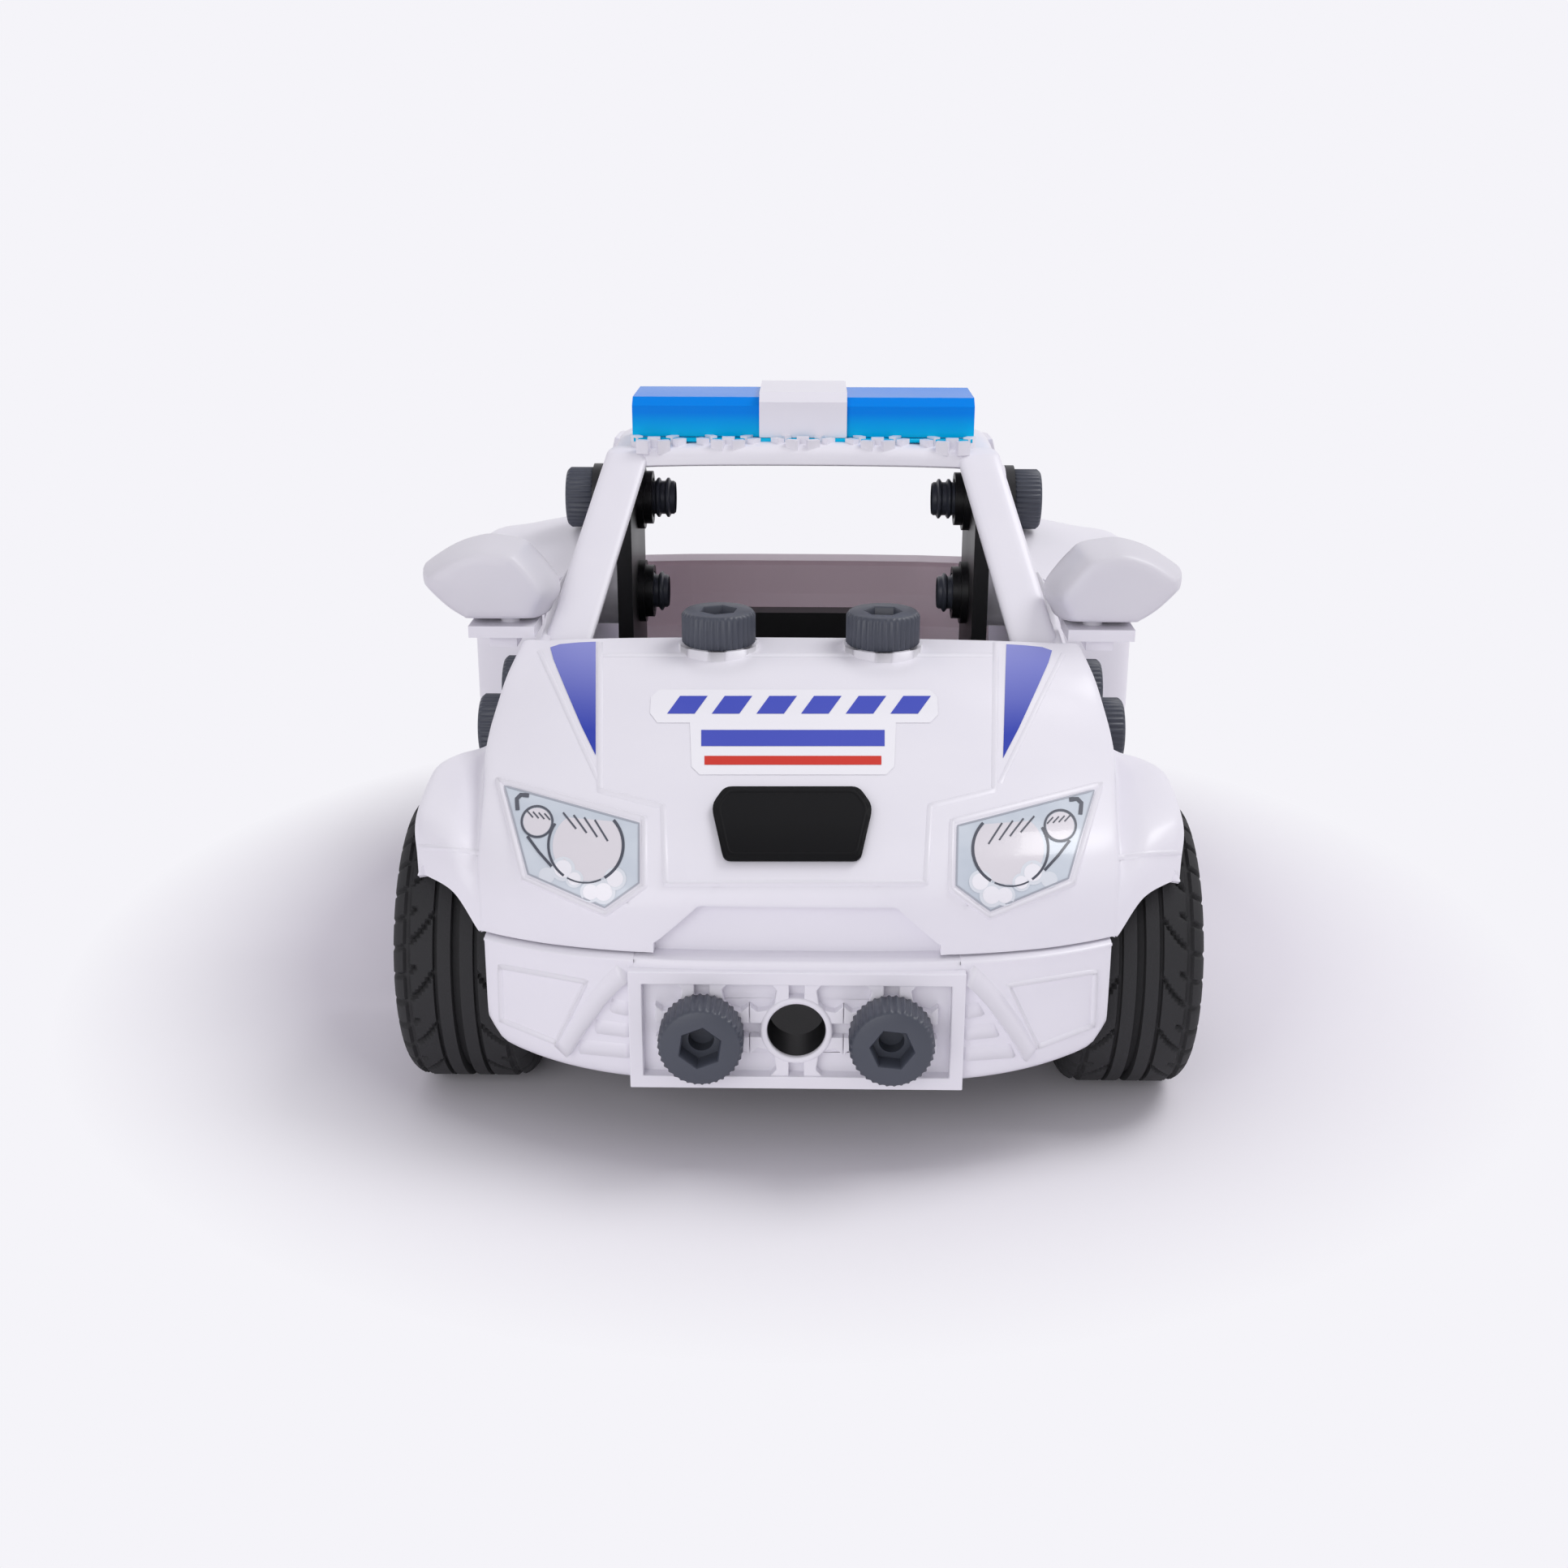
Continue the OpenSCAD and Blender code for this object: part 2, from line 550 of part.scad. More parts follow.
// Black bracket on one side: an upright for the roof and quarter bolts, and a rail for the door
module side_bracket() {
    upright_y = quarter_bolt[0] - 1.2 * pitch;
    upright_l = 2.2 * pitch;
    top_z = roof_bolt[1] + boss_d / 2;
    rail_y = door_bolt_ys[0] - pitch;
    rail_h = 1.3 * pitch;
    inner_x = tray_half_w - bracket_t;
    color("#1c1c1e") in_car() difference() {
        union() {
            translate([inner_x, upright_y, tray_top_z]) cube([bracket_t, upright_l, top_z - tray_top_z]);
            translate([rail_x - bracket_t, rail_y, tray_top_z])
                cube([bracket_t, upright_y + bracket_t - rail_y, rail_h]);
            translate([inner_x, upright_y, tray_top_z]) cube([rail_x - inner_x, bracket_t, rail_h]);
            translate([inner_x, rail_y, tray_top_z])
                cube([rail_x - inner_x, upright_y + weld - rail_y, bracket_t]);
        }
        for (p = [roof_bolt, quarter_bolt])
            outwards(0, p[0], p[1]) bolt_hole(inner_x, tray_half_w);
        for (y = door_bolt_ys) outwards(0, y, door_bolt_z) bolt_hole(rail_x - bracket_t, rail_x);
    }
}

// Black bench behind the cabin, a seat with a raised back
module rear_bench() {
    half_w = 1.75 * pitch;
    seat_y = rear_axle_y - 1.2 * pitch;
    depth = 1.4 * pitch;
    back_t = pitch / 2.5;
    back_h = 2.3 * pitch;
    color("#1c1c1e") in_car() difference() {
        union() {
            translate([-half_w, seat_y, floor_z]) cube([2 * half_w, depth, pitch]);
            translate([-half_w, seat_y + depth - back_t, floor_z]) cube([2 * half_w, back_t, back_h]);
        }
        // Tunnel in line with the middle holes of the bumpers
        translate([0, seat_y + depth, axle_z]) rotate([90, 0, 0]) bolt_hole(0, depth);
    }
}

// Light bar: places and the sloped outline shared by its lens and strap
bar_set_back = 0.12 * roof_l;
bar_mid_y = roof_front_y + bar_set_back + bar_l / 2;
bar_z = roof_z + seat_gap;
bar_lean = 0.1 * bar_l;
bar_sides_share = [0.55, 0.8];  // height of the bar's back and front
lens_t = 0.7 * wall;
peg_d = 0.55 * pitch;
// Side outline of the bar, grown by g at its sides, with its foot lowered by low
function bar_outline(g, h, low = 0) = let(half = bar_l / 2 + g) [
    [-half, -low], [half, -low], [half, bar_sides_share[0] * h], [half - bar_lean, h], [bar_lean - half, h],
    [-half, bar_sides_share[1] * h]];
module along_x(half_w) {
    translate([-half_w, bar_mid_y, bar_z]) rotate([90, 0, 90]) linear_extrude(2 * half_w) children();
}
module lightbar_base() {
    color("white") in_car() {
        translate([lens_t + fit_gap - bar_half_w, bar_mid_y - bar_l / 2 + lens_t + fit_gap, roof_z])
            cube([2 * (bar_half_w - lens_t - fit_gap), bar_l - 2 * (lens_t + fit_gap), wall]);
        for (x = [-pitch, pitch])
            translate([x, bar_mid_y, roof_z - 2.5 * wall]) cylinder(d = peg_d, h = 2.5 * wall + weld);
    }
}
module lightbar_lens() {
    color([0, 0.45, 0.95, 0.7]) in_car() difference() {
        along_x(bar_half_w) polygon(bar_outline(0, bar_h));
        along_x(bar_half_w - lens_t) polygon(bar_outline(-lens_t, bar_h - lens_t, cut));
    }
}
module lightbar_strap() {
    strap_t = 0.55 * wall;
    color("white") in_car() difference() {
        along_x(strap_half_w) polygon(bar_outline(strap_t + 2 * fit_gap, bar_h + strap_t + 2 * fit_gap));
        along_x(strap_half_w + cut)
            polygon(bar_outline(2 * fit_gap, bar_h + 2 * fit_gap, cut));
    }
}

// Mirror arm: a stepped plate on the door's sill with the pivot pin on top
pin_d = 4.4;          // mirror pivot pin
arm_t = 1.2 * wall;
arm_top_z = mirror_z - seat_gap;
module mirror_arm() {
    arm_in_x = door_top_x - wall;
    arm_out_x = mirror_x + 0.28 * mirror_w;
    arm_l = 0.9 * mirror_l;
    step_in = wall;
    color("white") in_car() {
        translate([arm_in_x, mirror_y - arm_l / 2, arm_top_z - arm_t])
            cube([arm_out_x - arm_in_x, arm_l, arm_t]);
        translate([door_top_x + step_in, mirror_y - arm_l / 2 + step_in, arm_top_z - 2 * arm_t])
            cube([arm_out_x - 2 * step_in - door_top_x - step_in, arm_l - 2 * step_in, arm_t + weld]);
        translate([mirror_x, mirror_y, arm_top_z - arm_t]) cylinder(d = pin_d, h = arm_t + mirror_h / 2);
    }
}

// Mirror head: its outline as shares of its width and height, swelling towards the front
mirror_shares = [[0, 0.34], [0.1, 0.52], [0.22, 0.74], [0.36, 0.93], [0.52, 1], [0.7, 0.98],
    [0.86, 0.88], [1, 0.66], [0.95, 0.45], [0.84, 0.22], [0.72, 0.06], [0.56, 0], [0.36, 0],
    [0.2, 0.04], [0.08, 0.16]];
// Along the head: share of its depth and of its outline
mirror_depth_shares = [[0, 0.5], [0.08, 0.72], [0.25, 0.9], [0.5, 0.98], [0.85, 1], [1, 0.95]];
mirror_mid_shares = [0.52, 0.45];
mirror_in_share = 0.355;
mirror_in_x = mirror_x - mirror_in_share * mirror_w;
module mirror_head() {
    rings = [for (d = mirror_depth_shares) [for (p = mirror_shares) [
        mirror_in_x + mirror_w * mix(mirror_mid_shares[0], p[0], d[1]),
        mirror_y + mirror_l * (d[0] - 0.5),
        mirror_z + mirror_h * mix(mirror_mid_shares[1], p[1], d[1])]]];
    foot_d = 2 * pin_d;
    color("white") in_car() difference() {
        union() {
            loft(rings);
            translate([mirror_x, mirror_y, mirror_z]) cylinder(d = foot_d, h = mirror_h / 3);
        }
        translate([mirror_x, mirror_y, mirror_z - cut])
            cylinder(d = pin_d + 2 * run_gap, h = cut + mirror_h / 2 + seat_gap);
    }
}

// Tyre: built along +Z from its inner face to its outer face, with round shoulders and grooves
module tyre() {
    shoulder = 0.16 * tyre_w;
    steps = 6;
    groove_w = 0.07 * tyre_w;
    groove_depth = 0.06 * tyre_r;
    groove_shares = [0.26, 0.5, 0.74];
    seat_r = rim_r + fit_gap;
    function corner(z_mid, from) = [for (i = [0 : steps]) let(a = from + 90 * i / steps)
        [tyre_r - shoulder + shoulder * cos(a), z_mid + shoulder * sin(a)]];
    color("#242426") rotate_extrude($fn = 96) difference() {
        polygon(concat([[seat_r, 0]], corner(shoulder, -90), corner(tyre_w - shoulder, 0),
            [[seat_r, tyre_w]]));
        for (s = groove_shares) translate([tyre_r - groove_depth, s * tyre_w - groove_w / 2])
            square([groove_depth + cut, groove_w]);
    }
}

// Rim: barrel, hub and spokes, along +Z like the tyre
module rim() {
    barrel_t = 0.12 * rim_r;
    hub_r = 0.5 * rim_r;
    spoke_w = 0.3 * rim_r;
    spoke_t = 0.2 * tyre_w;
    hub_from = (1 - hub_face_shares[1]) * tyre_w;
    hub_to = (1 - hub_face_shares[0]) * tyre_w;
    spokes = 5;
    color("silver") difference() {
        union() {
            difference() {
                cylinder(r = rim_r, h = tyre_w);
                translate([0, 0, -cut]) cylinder(r = rim_r - barrel_t, h = tyre_w + 2 * cut);
            }
            translate([0, 0, hub_from]) cylinder(r = hub_r, h = hub_to - hub_from);
            for (i = [0 : spokes - 1]) rotate([0, 0, i * 360 / spokes])
                translate([hub_r - weld, -spoke_w / 2, hub_to - 1.2 * spoke_t])
                    cube([rim_r - barrel_t - hub_r + 2 * weld, spoke_w, spoke_t]);
        }
        translate([0, 0, -cut]) cylinder(d = shank_d + 2 * run_gap, h = tyre_w + 2 * cut);
    }
}
module front_wheel_place() {
    in_car() outwards(front_tyre_x - tyre_w, front_axle_y, axle_z) children();
}
module rear_wheel_place() {
    in_car() outwards(rear_tyre_x - tyre_w, rear_axle_y, axle_z) children();
}

// Wheel bolts, their spacers and nuts: each wheel turns on the plain shank of its own bolt
nut_x = tray_in_x;
module wheel_bolt(y, face_x) {
    hub_x = face_x - hub_face_shares[0] * tyre_w + seat_gap;
    outwards(hub_x, y, axle_z) bolt(hub_x - nut_x + 1.2 * nut_h);
}
module wheel_spacer(y, face_x) {
    hub_in_x = face_x - hub_face_shares[1] * tyre_w - seat_gap;
    color("black") outwards(tray_half_w, y, axle_z) difference() {
        cylinder(d = head_d, h = hub_in_x - tray_half_w);
        translate([0, 0, -cut]) cylinder(d = thread_d + 2 * fit_gap, h = hub_in_x - tray_half_w + 2 * cut);
    }
}
module front_wheel_bolts() { in_car() both_sides() wheel_bolt(front_axle_y, front_tyre_x); }
module rear_wheel_bolts() { in_car() both_sides() wheel_bolt(rear_axle_y, rear_tyre_x); }
module front_spacers() { in_car() both_sides() wheel_spacer(front_axle_y, front_tyre_x); }
module rear_spacers() { in_car() both_sides() wheel_spacer(rear_axle_y, rear_tyre_x); }
module wheel_nuts() {
    in_car() both_sides() for (y = [front_axle_y, rear_axle_y]) outwards(nut_x, y, axle_z) nut();
}

module cowl_bolts() {
    in_car() for (x = [-pitch, pitch]) translate([x, cowl_bolt_y, boss_top_z]) bolt(plate_shank_l);
}
module cowl_nuts() {
    in_car() for (x = [-pitch, pitch]) translate([x, cowl_bolt_y, bracket_z - bracket_t]) nut();
}
module bumper_pair() { for (x = [-pitch, pitch]) forwards(x, axle_z) children(); }
module bumper_bolts() {
    in_car() bumper_pair() bolt(plate_shank_l);
    turned_to_rear() bumper_pair() bolt(plate_shank_l);
}
module behind_plate() { translate([0, 0, -plate_t - tray_wall]) children(); }
module bumper_nuts() {
    in_car() bumper_pair() behind_plate() nut();
    turned_to_rear() bumper_pair() behind_plate() nut();
}
module roof_bolts() {
    in_car() both_sides() outwards(roof_pad_x + washer_t, roof_bolt[0], roof_bolt[1]) bolt(side_shank_l);
}
module roof_washers() {
    color("black") in_car() both_sides() outwards(roof_pad_x, roof_bolt[0], roof_bolt[1]) difference() {
        cylinder(d = boss_d, h = washer_t);
        bolt_hole(0, washer_t);
    }
}
module roof_nuts() {
    in_car() both_sides() outwards(tray_half_w - bracket_t, roof_bolt[0], roof_bolt[1]) nut();
}
module quarter_bolts() {
    in_car() both_sides() outwards(quarter_pad_x, quarter_bolt[0], quarter_bolt[1]) bolt(side_shank_l);
}
module quarter_nuts() {
    in_car() both_sides() outwards(tray_half_w - bracket_t, quarter_bolt[0], quarter_bolt[1]) nut();
}
module door_bolts() {
    in_car() both_sides() for (y = door_bolt_ys) outwards(door_pad_x, y, door_bolt_z) bolt(side_shank_l);
}
module door_nuts() {
    in_car() both_sides() for (y = door_bolt_ys) outwards(rail_x - bracket_t, y, door_bolt_z) nut();
}

chassis();
tray_side();  // tray_side_left
on_right() tray_side();  // tray_side_right
cowl_bracket();
side_bracket();  // side_bracket_left
on_right() side_bracket();  // side_bracket_right
rear_bench();
bonnet();
cabin_roof();
door();  // door_left
on_right() door();  // door_right
rear_quarter();  // rear_quarter_left
on_right() rear_quarter();  // rear_quarter_right
tailgate();
front_bumper();
rear_bumper();
lightbar_base();
lightbar_lens();
lightbar_strap();
mirror_arm();  // mirror_arm_left
on_right() mirror_arm();  // mirror_arm_right
mirror_head();  // mirror_left
on_right() mirror_head();  // mirror_right
front_wheel_place() tyre();  // tyre_front_left
on_right() front_wheel_place() tyre();  // tyre_front_right
rear_wheel_place() tyre();  // tyre_rear_left
on_right() rear_wheel_place() tyre();  // tyre_rear_right
front_wheel_place() rim();  // rim_front_left
on_right() front_wheel_place() rim();  // rim_front_right
rear_wheel_place() rim();  // rim_rear_left
on_right() rear_wheel_place() rim();  // rim_rear_right
front_wheel_bolts();
rear_wheel_bolts();
front_spacers();
rear_spacers();
cowl_bolts();
bumper_bolts();
roof_bolts();
quarter_bolts();
door_bolts();
roof_washers();
wheel_nuts();
cowl_nuts();
bumper_nuts();
roof_nuts();
quarter_nuts();
door_nuts();
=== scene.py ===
"""Toy police car, a bolt-together kit of white moulded panels on a black tray."""
from math import cos, floor, pi, radians, sin, sqrt

import bmesh
import bpy
from mathutils import Matrix, Vector
from mathutils.bvhtree import BVHTree


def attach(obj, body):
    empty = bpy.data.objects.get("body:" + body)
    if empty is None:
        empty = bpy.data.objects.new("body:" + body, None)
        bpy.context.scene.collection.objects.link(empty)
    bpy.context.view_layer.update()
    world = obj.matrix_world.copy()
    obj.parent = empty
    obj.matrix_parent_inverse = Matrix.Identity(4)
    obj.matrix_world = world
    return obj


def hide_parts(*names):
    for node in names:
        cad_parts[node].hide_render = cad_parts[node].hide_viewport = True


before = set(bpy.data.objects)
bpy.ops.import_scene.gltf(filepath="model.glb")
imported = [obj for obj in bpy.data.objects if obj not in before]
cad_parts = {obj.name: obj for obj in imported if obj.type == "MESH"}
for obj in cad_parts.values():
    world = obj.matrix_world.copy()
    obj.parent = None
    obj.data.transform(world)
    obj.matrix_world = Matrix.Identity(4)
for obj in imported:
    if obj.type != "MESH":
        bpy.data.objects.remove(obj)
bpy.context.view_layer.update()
scene = bpy.context.scene
scene.view_settings.view_transform = "Standard"

# Studio: a pale sweep of paper, a broad softbox overhead, one in front and pale walls all round.
# The front light is the stronger and stands to the left, so the nose is bright; the overhead one
# stands to the right. Away from the car the paper is seen as plain white, so the shadow fades out.
MM = 0.001
MIX_LOW, MIX_HIGH, MIX_OUT = 6, 7, 2  # the colour mix's own sockets, which share their names with others
SHADOW_FULL, SHADOW_GONE = 120 * MM, 180 * MM
SWEEP_HALF, SWEEP_FRONT, SWEEP_BEND, SWEEP_R, SWEEP_TOP = 3000, -2600, 900, 500, 2600


def linear(code):
    """sRGB hex to the linear colour that the shaders take."""
    parts = [int(code[i:i + 2], 16) / 255 for i in (1, 3, 5)]
    return [c / 12.92 if c <= 0.04045 else ((c + 0.055) / 1.055) ** 2.4 for c in parts] + [1]


def add_node(material, kind, settings=(), links=()):
    """One shader node: settings by socket or property name, links as (socket, from node, from socket)."""
    made = material.node_tree.nodes.new("ShaderNode" + kind)
    for key, value in dict(settings).items():
        if isinstance(key, str) and hasattr(made, key):
            setattr(made, key, value)
        else:
            made.inputs[key].default_value = value
    for socket, source, output in links:
        material.node_tree.links.new(source.outputs[output], made.inputs[socket])
    return made


def new_material(name):
    material = bpy.data.materials.new(name)
    material.use_nodes = True
    material.node_tree.nodes.clear()
    return material


def new_object(name, points, faces, material, soft=True):
    """A mesh from points in millimetres."""
    mesh = bpy.data.meshes.new(name)
    mesh.from_pydata([Vector(p) * MM for p in points], [], faces)
    mesh.materials.append(material)
    mesh.polygons.foreach_set("use_smooth", [soft] * len(mesh.polygons))
    mesh.update()
    made = bpy.data.objects.new(name, mesh)
    scene.collection.objects.link(made)
    return made


# Matt studio paper, with a mottle too slow to notice.
paper = new_material("studio_paper")
paper_mottle = add_node(paper, "TexNoise", {"Scale": 6, "Detail": 2})
paper_tint = add_node(
    paper, "Mix", {"data_type": "RGBA", MIX_LOW: linear("#f1edf5"), MIX_HIGH: linear("#f4f2f7")},
    [("Factor", paper_mottle, "Fac")])
paper_face = add_node(paper, "BsdfDiffuse", {}, [("Color", paper_tint, MIX_OUT)])
paper_white = add_node(paper, "Emission", {"Color": linear("#f5f4f9"), "Strength": 1})
paper_where = add_node(paper, "TexCoord")
paper_reach = add_node(paper, "VectorMath", {"operation": "LENGTH"}, [(0, paper_where, "Object")])
paper_far = add_node(
    paper, "MapRange", {"From Min": SHADOW_FULL, "From Max": SHADOW_GONE}, [("Value", paper_reach, "Value")])
paper_seen = add_node(paper, "LightPath")
paper_looks = add_node(
    paper, "Math", {"operation": "MAXIMUM"},
    [(0, paper_seen, "Is Camera Ray"), (1, paper_seen, "Is Glossy Ray")])
paper_sees = add_node(
    paper, "Math", {"operation": "MAXIMUM"},
    [(0, paper_looks, "Value"), (1, paper_seen, "Is Transmission Ray")])
paper_share = add_node(
    paper, "Math", {"operation": "MULTIPLY"}, [(0, paper_far, "Result"), (1, paper_sees, "Value")])
paper_both = add_node(
    paper, "MixShader", {},
    [(0, paper_share, "Value"), (1, paper_face, "BSDF"), (2, paper_white, "Emission")])
add_node(paper, "OutputMaterial", {}, [("Surface", paper_both, "Shader")])
sweep_profile = [(SWEEP_FRONT, 0), (SWEEP_BEND, 0)]
sweep_profile += [(SWEEP_BEND + SWEEP_R * sin(a), SWEEP_R - SWEEP_R * cos(a))
                  for a in [radians(6 * i) for i in range(1, 16)]]
sweep_profile.append((SWEEP_BEND + SWEEP_R, SWEEP_TOP))
sweep = new_object(
    "paper_sweep",
    [(x, y, z) for y, z in sweep_profile for x in (-SWEEP_HALF, SWEEP_HALF)],
    [(2 * i, 2 * i + 1, 2 * i + 3, 2 * i + 2) for i in range(len(sweep_profile) - 1)],
    paper)

world = bpy.data.worlds.new("pale_walls")
world.use_nodes = True
world.node_tree.nodes.clear()
walls = add_node(world, "Background", {"Color": linear("#efedf3"), "Strength": 0.62})
walls_white = add_node(world, "Background", {"Color": linear("#f5f4f9"), "Strength": 1})
walls_seen = add_node(world, "LightPath")
walls_both = add_node(
    world, "MixShader", {},
    [(0, walls_seen, "Is Camera Ray"), (1, walls, "Background"), (2, walls_white, "Background")])
add_node(world, "OutputWorld", {}, [("Surface", walls_both, "Shader")])
scene.world = world


def softbox(name, place, aim, size, watts):
    lamp = bpy.data.lights.new(name, "AREA")
    lamp.size = size
    lamp.energy = watts
    made = bpy.data.objects.new(name, lamp)
    made.location = place
    made.rotation_euler = (Vector(aim) - Vector(place)).to_track_quat("-Z", "Y").to_euler()
    scene.collection.objects.link(made)


softbox("softbox_overhead", (0.62, 0.1, 0.95), (0, 0, 0.05), 0.5, 4.2)
softbox("softbox_front", (-0.45, -1.3, 0.5), (0, 0, 0.08), 0.9, 5.0)

# Camera: the photograph's own view from in front and above. Stickers and ribs are placed further down
# by the pixels where this camera sees them.
CAMERA_AT = Vector((2.0, -432.4, 188)) * MM
CAMERA_PAN, CAMERA_TILT, CAMERA_ROLL = 0.82, 71, 0.15
PHOTO_MID, PHOTO_FOCAL = (966, 965), 2249


def spun(degrees, axis="Z"):
    return Matrix.Rotation(radians(degrees), 3, axis)


camera_data = bpy.data.cameras.new("camera")
camera_data.lens = 41.9
camera_data.sensor_width = 36
camera_turn = spun(CAMERA_PAN) @ spun(CAMERA_TILT, "X") @ spun(CAMERA_ROLL)
camera = bpy.data.objects.new("camera", camera_data)
camera.matrix_world = Matrix.Translation(CAMERA_AT) @ camera_turn.to_4x4()
scene.collection.objects.link(camera)
scene.camera = camera

# Black tray, brackets, bench, spacers, washers and nuts: satin black ABS, injection moulded and left
# as it leaves the mould. They hold the white panels and lie mostly in shade.
DRIFT_MM, GLOSS_SPREAD, GRAIN_DEEP_MM = 25, 0.06, 0.05
PLASTIC_IOR = 1.5


def moulded(name, dark, light, rough, grain_mm, grain_bump, coat=0.0, glint=0.5):
    """Moulded plastic: a slow drift of tone, uneven gloss and the mould's fine grain."""
    material = new_material(name)
    where = add_node(material, "TexCoord")
    drift = add_node(
        material, "TexNoise", {"Scale": 1 / (DRIFT_MM * MM), "Detail": 3}, [("Vector", where, "Object")])
    tone = add_node(
        material, "Mix", {"data_type": "RGBA", MIX_LOW: linear(dark), MIX_HIGH: linear(light)},
        [("Factor", drift, "Fac")])
    gloss = add_node(
        material, "MapRange", {"To Min": rough - GLOSS_SPREAD, "To Max": rough + GLOSS_SPREAD},
        [("Value", drift, "Fac")])
    grain = add_node(
        material, "TexNoise", {"Scale": 1 / (grain_mm * MM), "Detail": 2}, [("Vector", where, "Object")])
    skin = add_node(
        material, "Bump", {"Strength": grain_bump, "Distance": GRAIN_DEEP_MM * MM},
        [("Height", grain, "Fac")])
    face = add_node(
        material, "BsdfPrincipled", {"IOR": PLASTIC_IOR, "Coat Weight": coat, "Specular IOR Level": glint},
        [("Base Color", tone, MIX_OUT), ("Roughness", gloss, "Result"), ("Normal", skin, "Normal")])
    add_node(material, "OutputMaterial", {}, [("Surface", face, "BSDF")])
    return material


# Satin black: soft broad highlights that keep the tray from going flat.
black_abs = moulded("moulded_black_abs", "#161618", "#202023", 0.42, 0.6, 0.35)


def mould_edge(made, round_mm, angle):
    """The small round that a mould leaves on each edge sharper than the angle."""
    edge = made.modifiers.new("mould_edge", "BEVEL")
    edge.width = round_mm * MM
    edge.segments = 2
    edge.limit_method = "ANGLE"
    edge.angle_limit = radians(angle)


def dress(node, material, round_mm):
    """A solid kept as it is, with its own finish and rounded edges."""
    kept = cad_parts[node]
    kept.data.materials.clear()
    kept.data.materials.append(material)
    mould_edge(kept, round_mm, 35)


for node in ("chassis", "tray_side_left", "tray_side_right", "cowl_bracket", "side_bracket_left",
             "side_bracket_right", "rear_bench", "front_spacers", "rear_spacers", "roof_washers",
             "wheel_nuts", "cowl_nuts", "bumper_nuts", "roof_nuts", "quarter_nuts", "door_nuts"):
    dress(node, black_abs, 0.35)

# Rims: light grey ABS with five spokes, moulded in one piece and pressed into the tyres.
# The fine grain gives them a dull silver look.
rim_abs = moulded("moulded_grey_abs", "#a9abb3", "#b6b8bf", 0.36, 0.5, 0.3)
for corner in ("front_left", "front_right", "rear_left", "rear_right"):
    dress("rim_" + corner, rim_abs, 0.4)

# Tyres: black rubber with a wide groove and four narrow ones round the tread, and long and short sipes
# that sweep in from the shoulders. Moulded rubber is dull, a little dusty on the tread blocks.
rubber = moulded("moulded_tyre_rubber", "#232325", "#303032", 0.78, 0.35, 0.6)
TYRE_R, TYRE_W, RIM_R, SHOULDER_R, SHOULDER_STEPS = 30, 26, 20.1, 4.2, 12
BEAD_R, BEAD_IN, TREAD_DEEP, TREAD_ROWS, GROOVE_WALL = 23, 0.3, 5, 26, 0.06
# Each groove's place across the tread, width and depth.
GROOVES = [(13, 1.7, 1.9), (9, 0.8, 1.1), (17, 0.8, 1.1), (3.4, 0.7, 0.8), (22.6, 0.7, 0.8)]
SIPES, SIPE_DEPTH, SIPE_SWEEP, SIPE_HALF, SIPE_SLOPE = 32, 1.1, 11.4, 0.12, 0.07
SIPE_SHORT, SIPE_LONG = 0.2, 0.34
AXLE_Z, FRONT_AXLE_Y, REAR_AXLE_Y = 30, -73.2, 88.8
FRONT_WHEEL_X, REAR_WHEEL_X, TREAD_STEPS = 55, 64, 720


def tube_faces(rings, count):
    """Faces that join each ring of count points to the next ring."""
    faces = []
    for start in range(0, (rings - 1) * count, count):
        for i in range(count):
            a, b = start + i, start + (i + 1) % count
            faces.append((a, b, b + count, a + count))
    return faces


def turned(profile, count, shape=None):
    """A turned form about Z. profile is (radius, height); shape may change a point by angle and index."""
    points = []
    for k, (r, z) in enumerate(profile):
        for i in range(count):
            a = 2 * pi * i / count
            pr, pz = shape(a, k, r, z) if shape else (r, z)
            points.append((pr * cos(a), pr * sin(a), pz))
    return points, tube_faces(len(profile), count)


def stood(form, place, axis):
    """The form with its own +Z along axis and its origin at place, in millimetres."""
    turn = Vector((0, 0, 1)).rotation_difference(Vector(axis)).to_matrix()
    return [turn @ Vector(p) + Vector(place) for p in form[0]], form[1]


def mirrored(form):
    return [Vector((-p[0], p[1], p[2])) for p in form[0]], [f[::-1] for f in form[1]]


def crisp_edges(made, angle):
    """Edges sharper than the angle stay crisp on a smooth form."""
    made.modifiers.new("crisp_edges", "EDGE_SPLIT").split_angle = radians(angle)


def tread(a, k, r, z):
    """Grooves round the tyre, and sipes that curve from the shoulders to the narrow grooves."""
    if r < TYRE_R - TREAD_DEEP:
        return r, z
    for place, width, depth in GROOVES:
        if abs(z - place) < width / 2:
            return r - depth, z
    inwards = min(z, TYRE_W - z) / TYRE_W
    turn = a * SIPES / (2 * pi) + SIPE_SWEEP * inwards * inwards
    if inwards > (SIPE_SHORT if floor(turn) % 2 else SIPE_LONG):
        return r, z
    return r - SIPE_DEPTH * max(0, min(1, (SIPE_HALF - abs(turn % 1 - 0.5)) / SIPE_SLOPE)), z


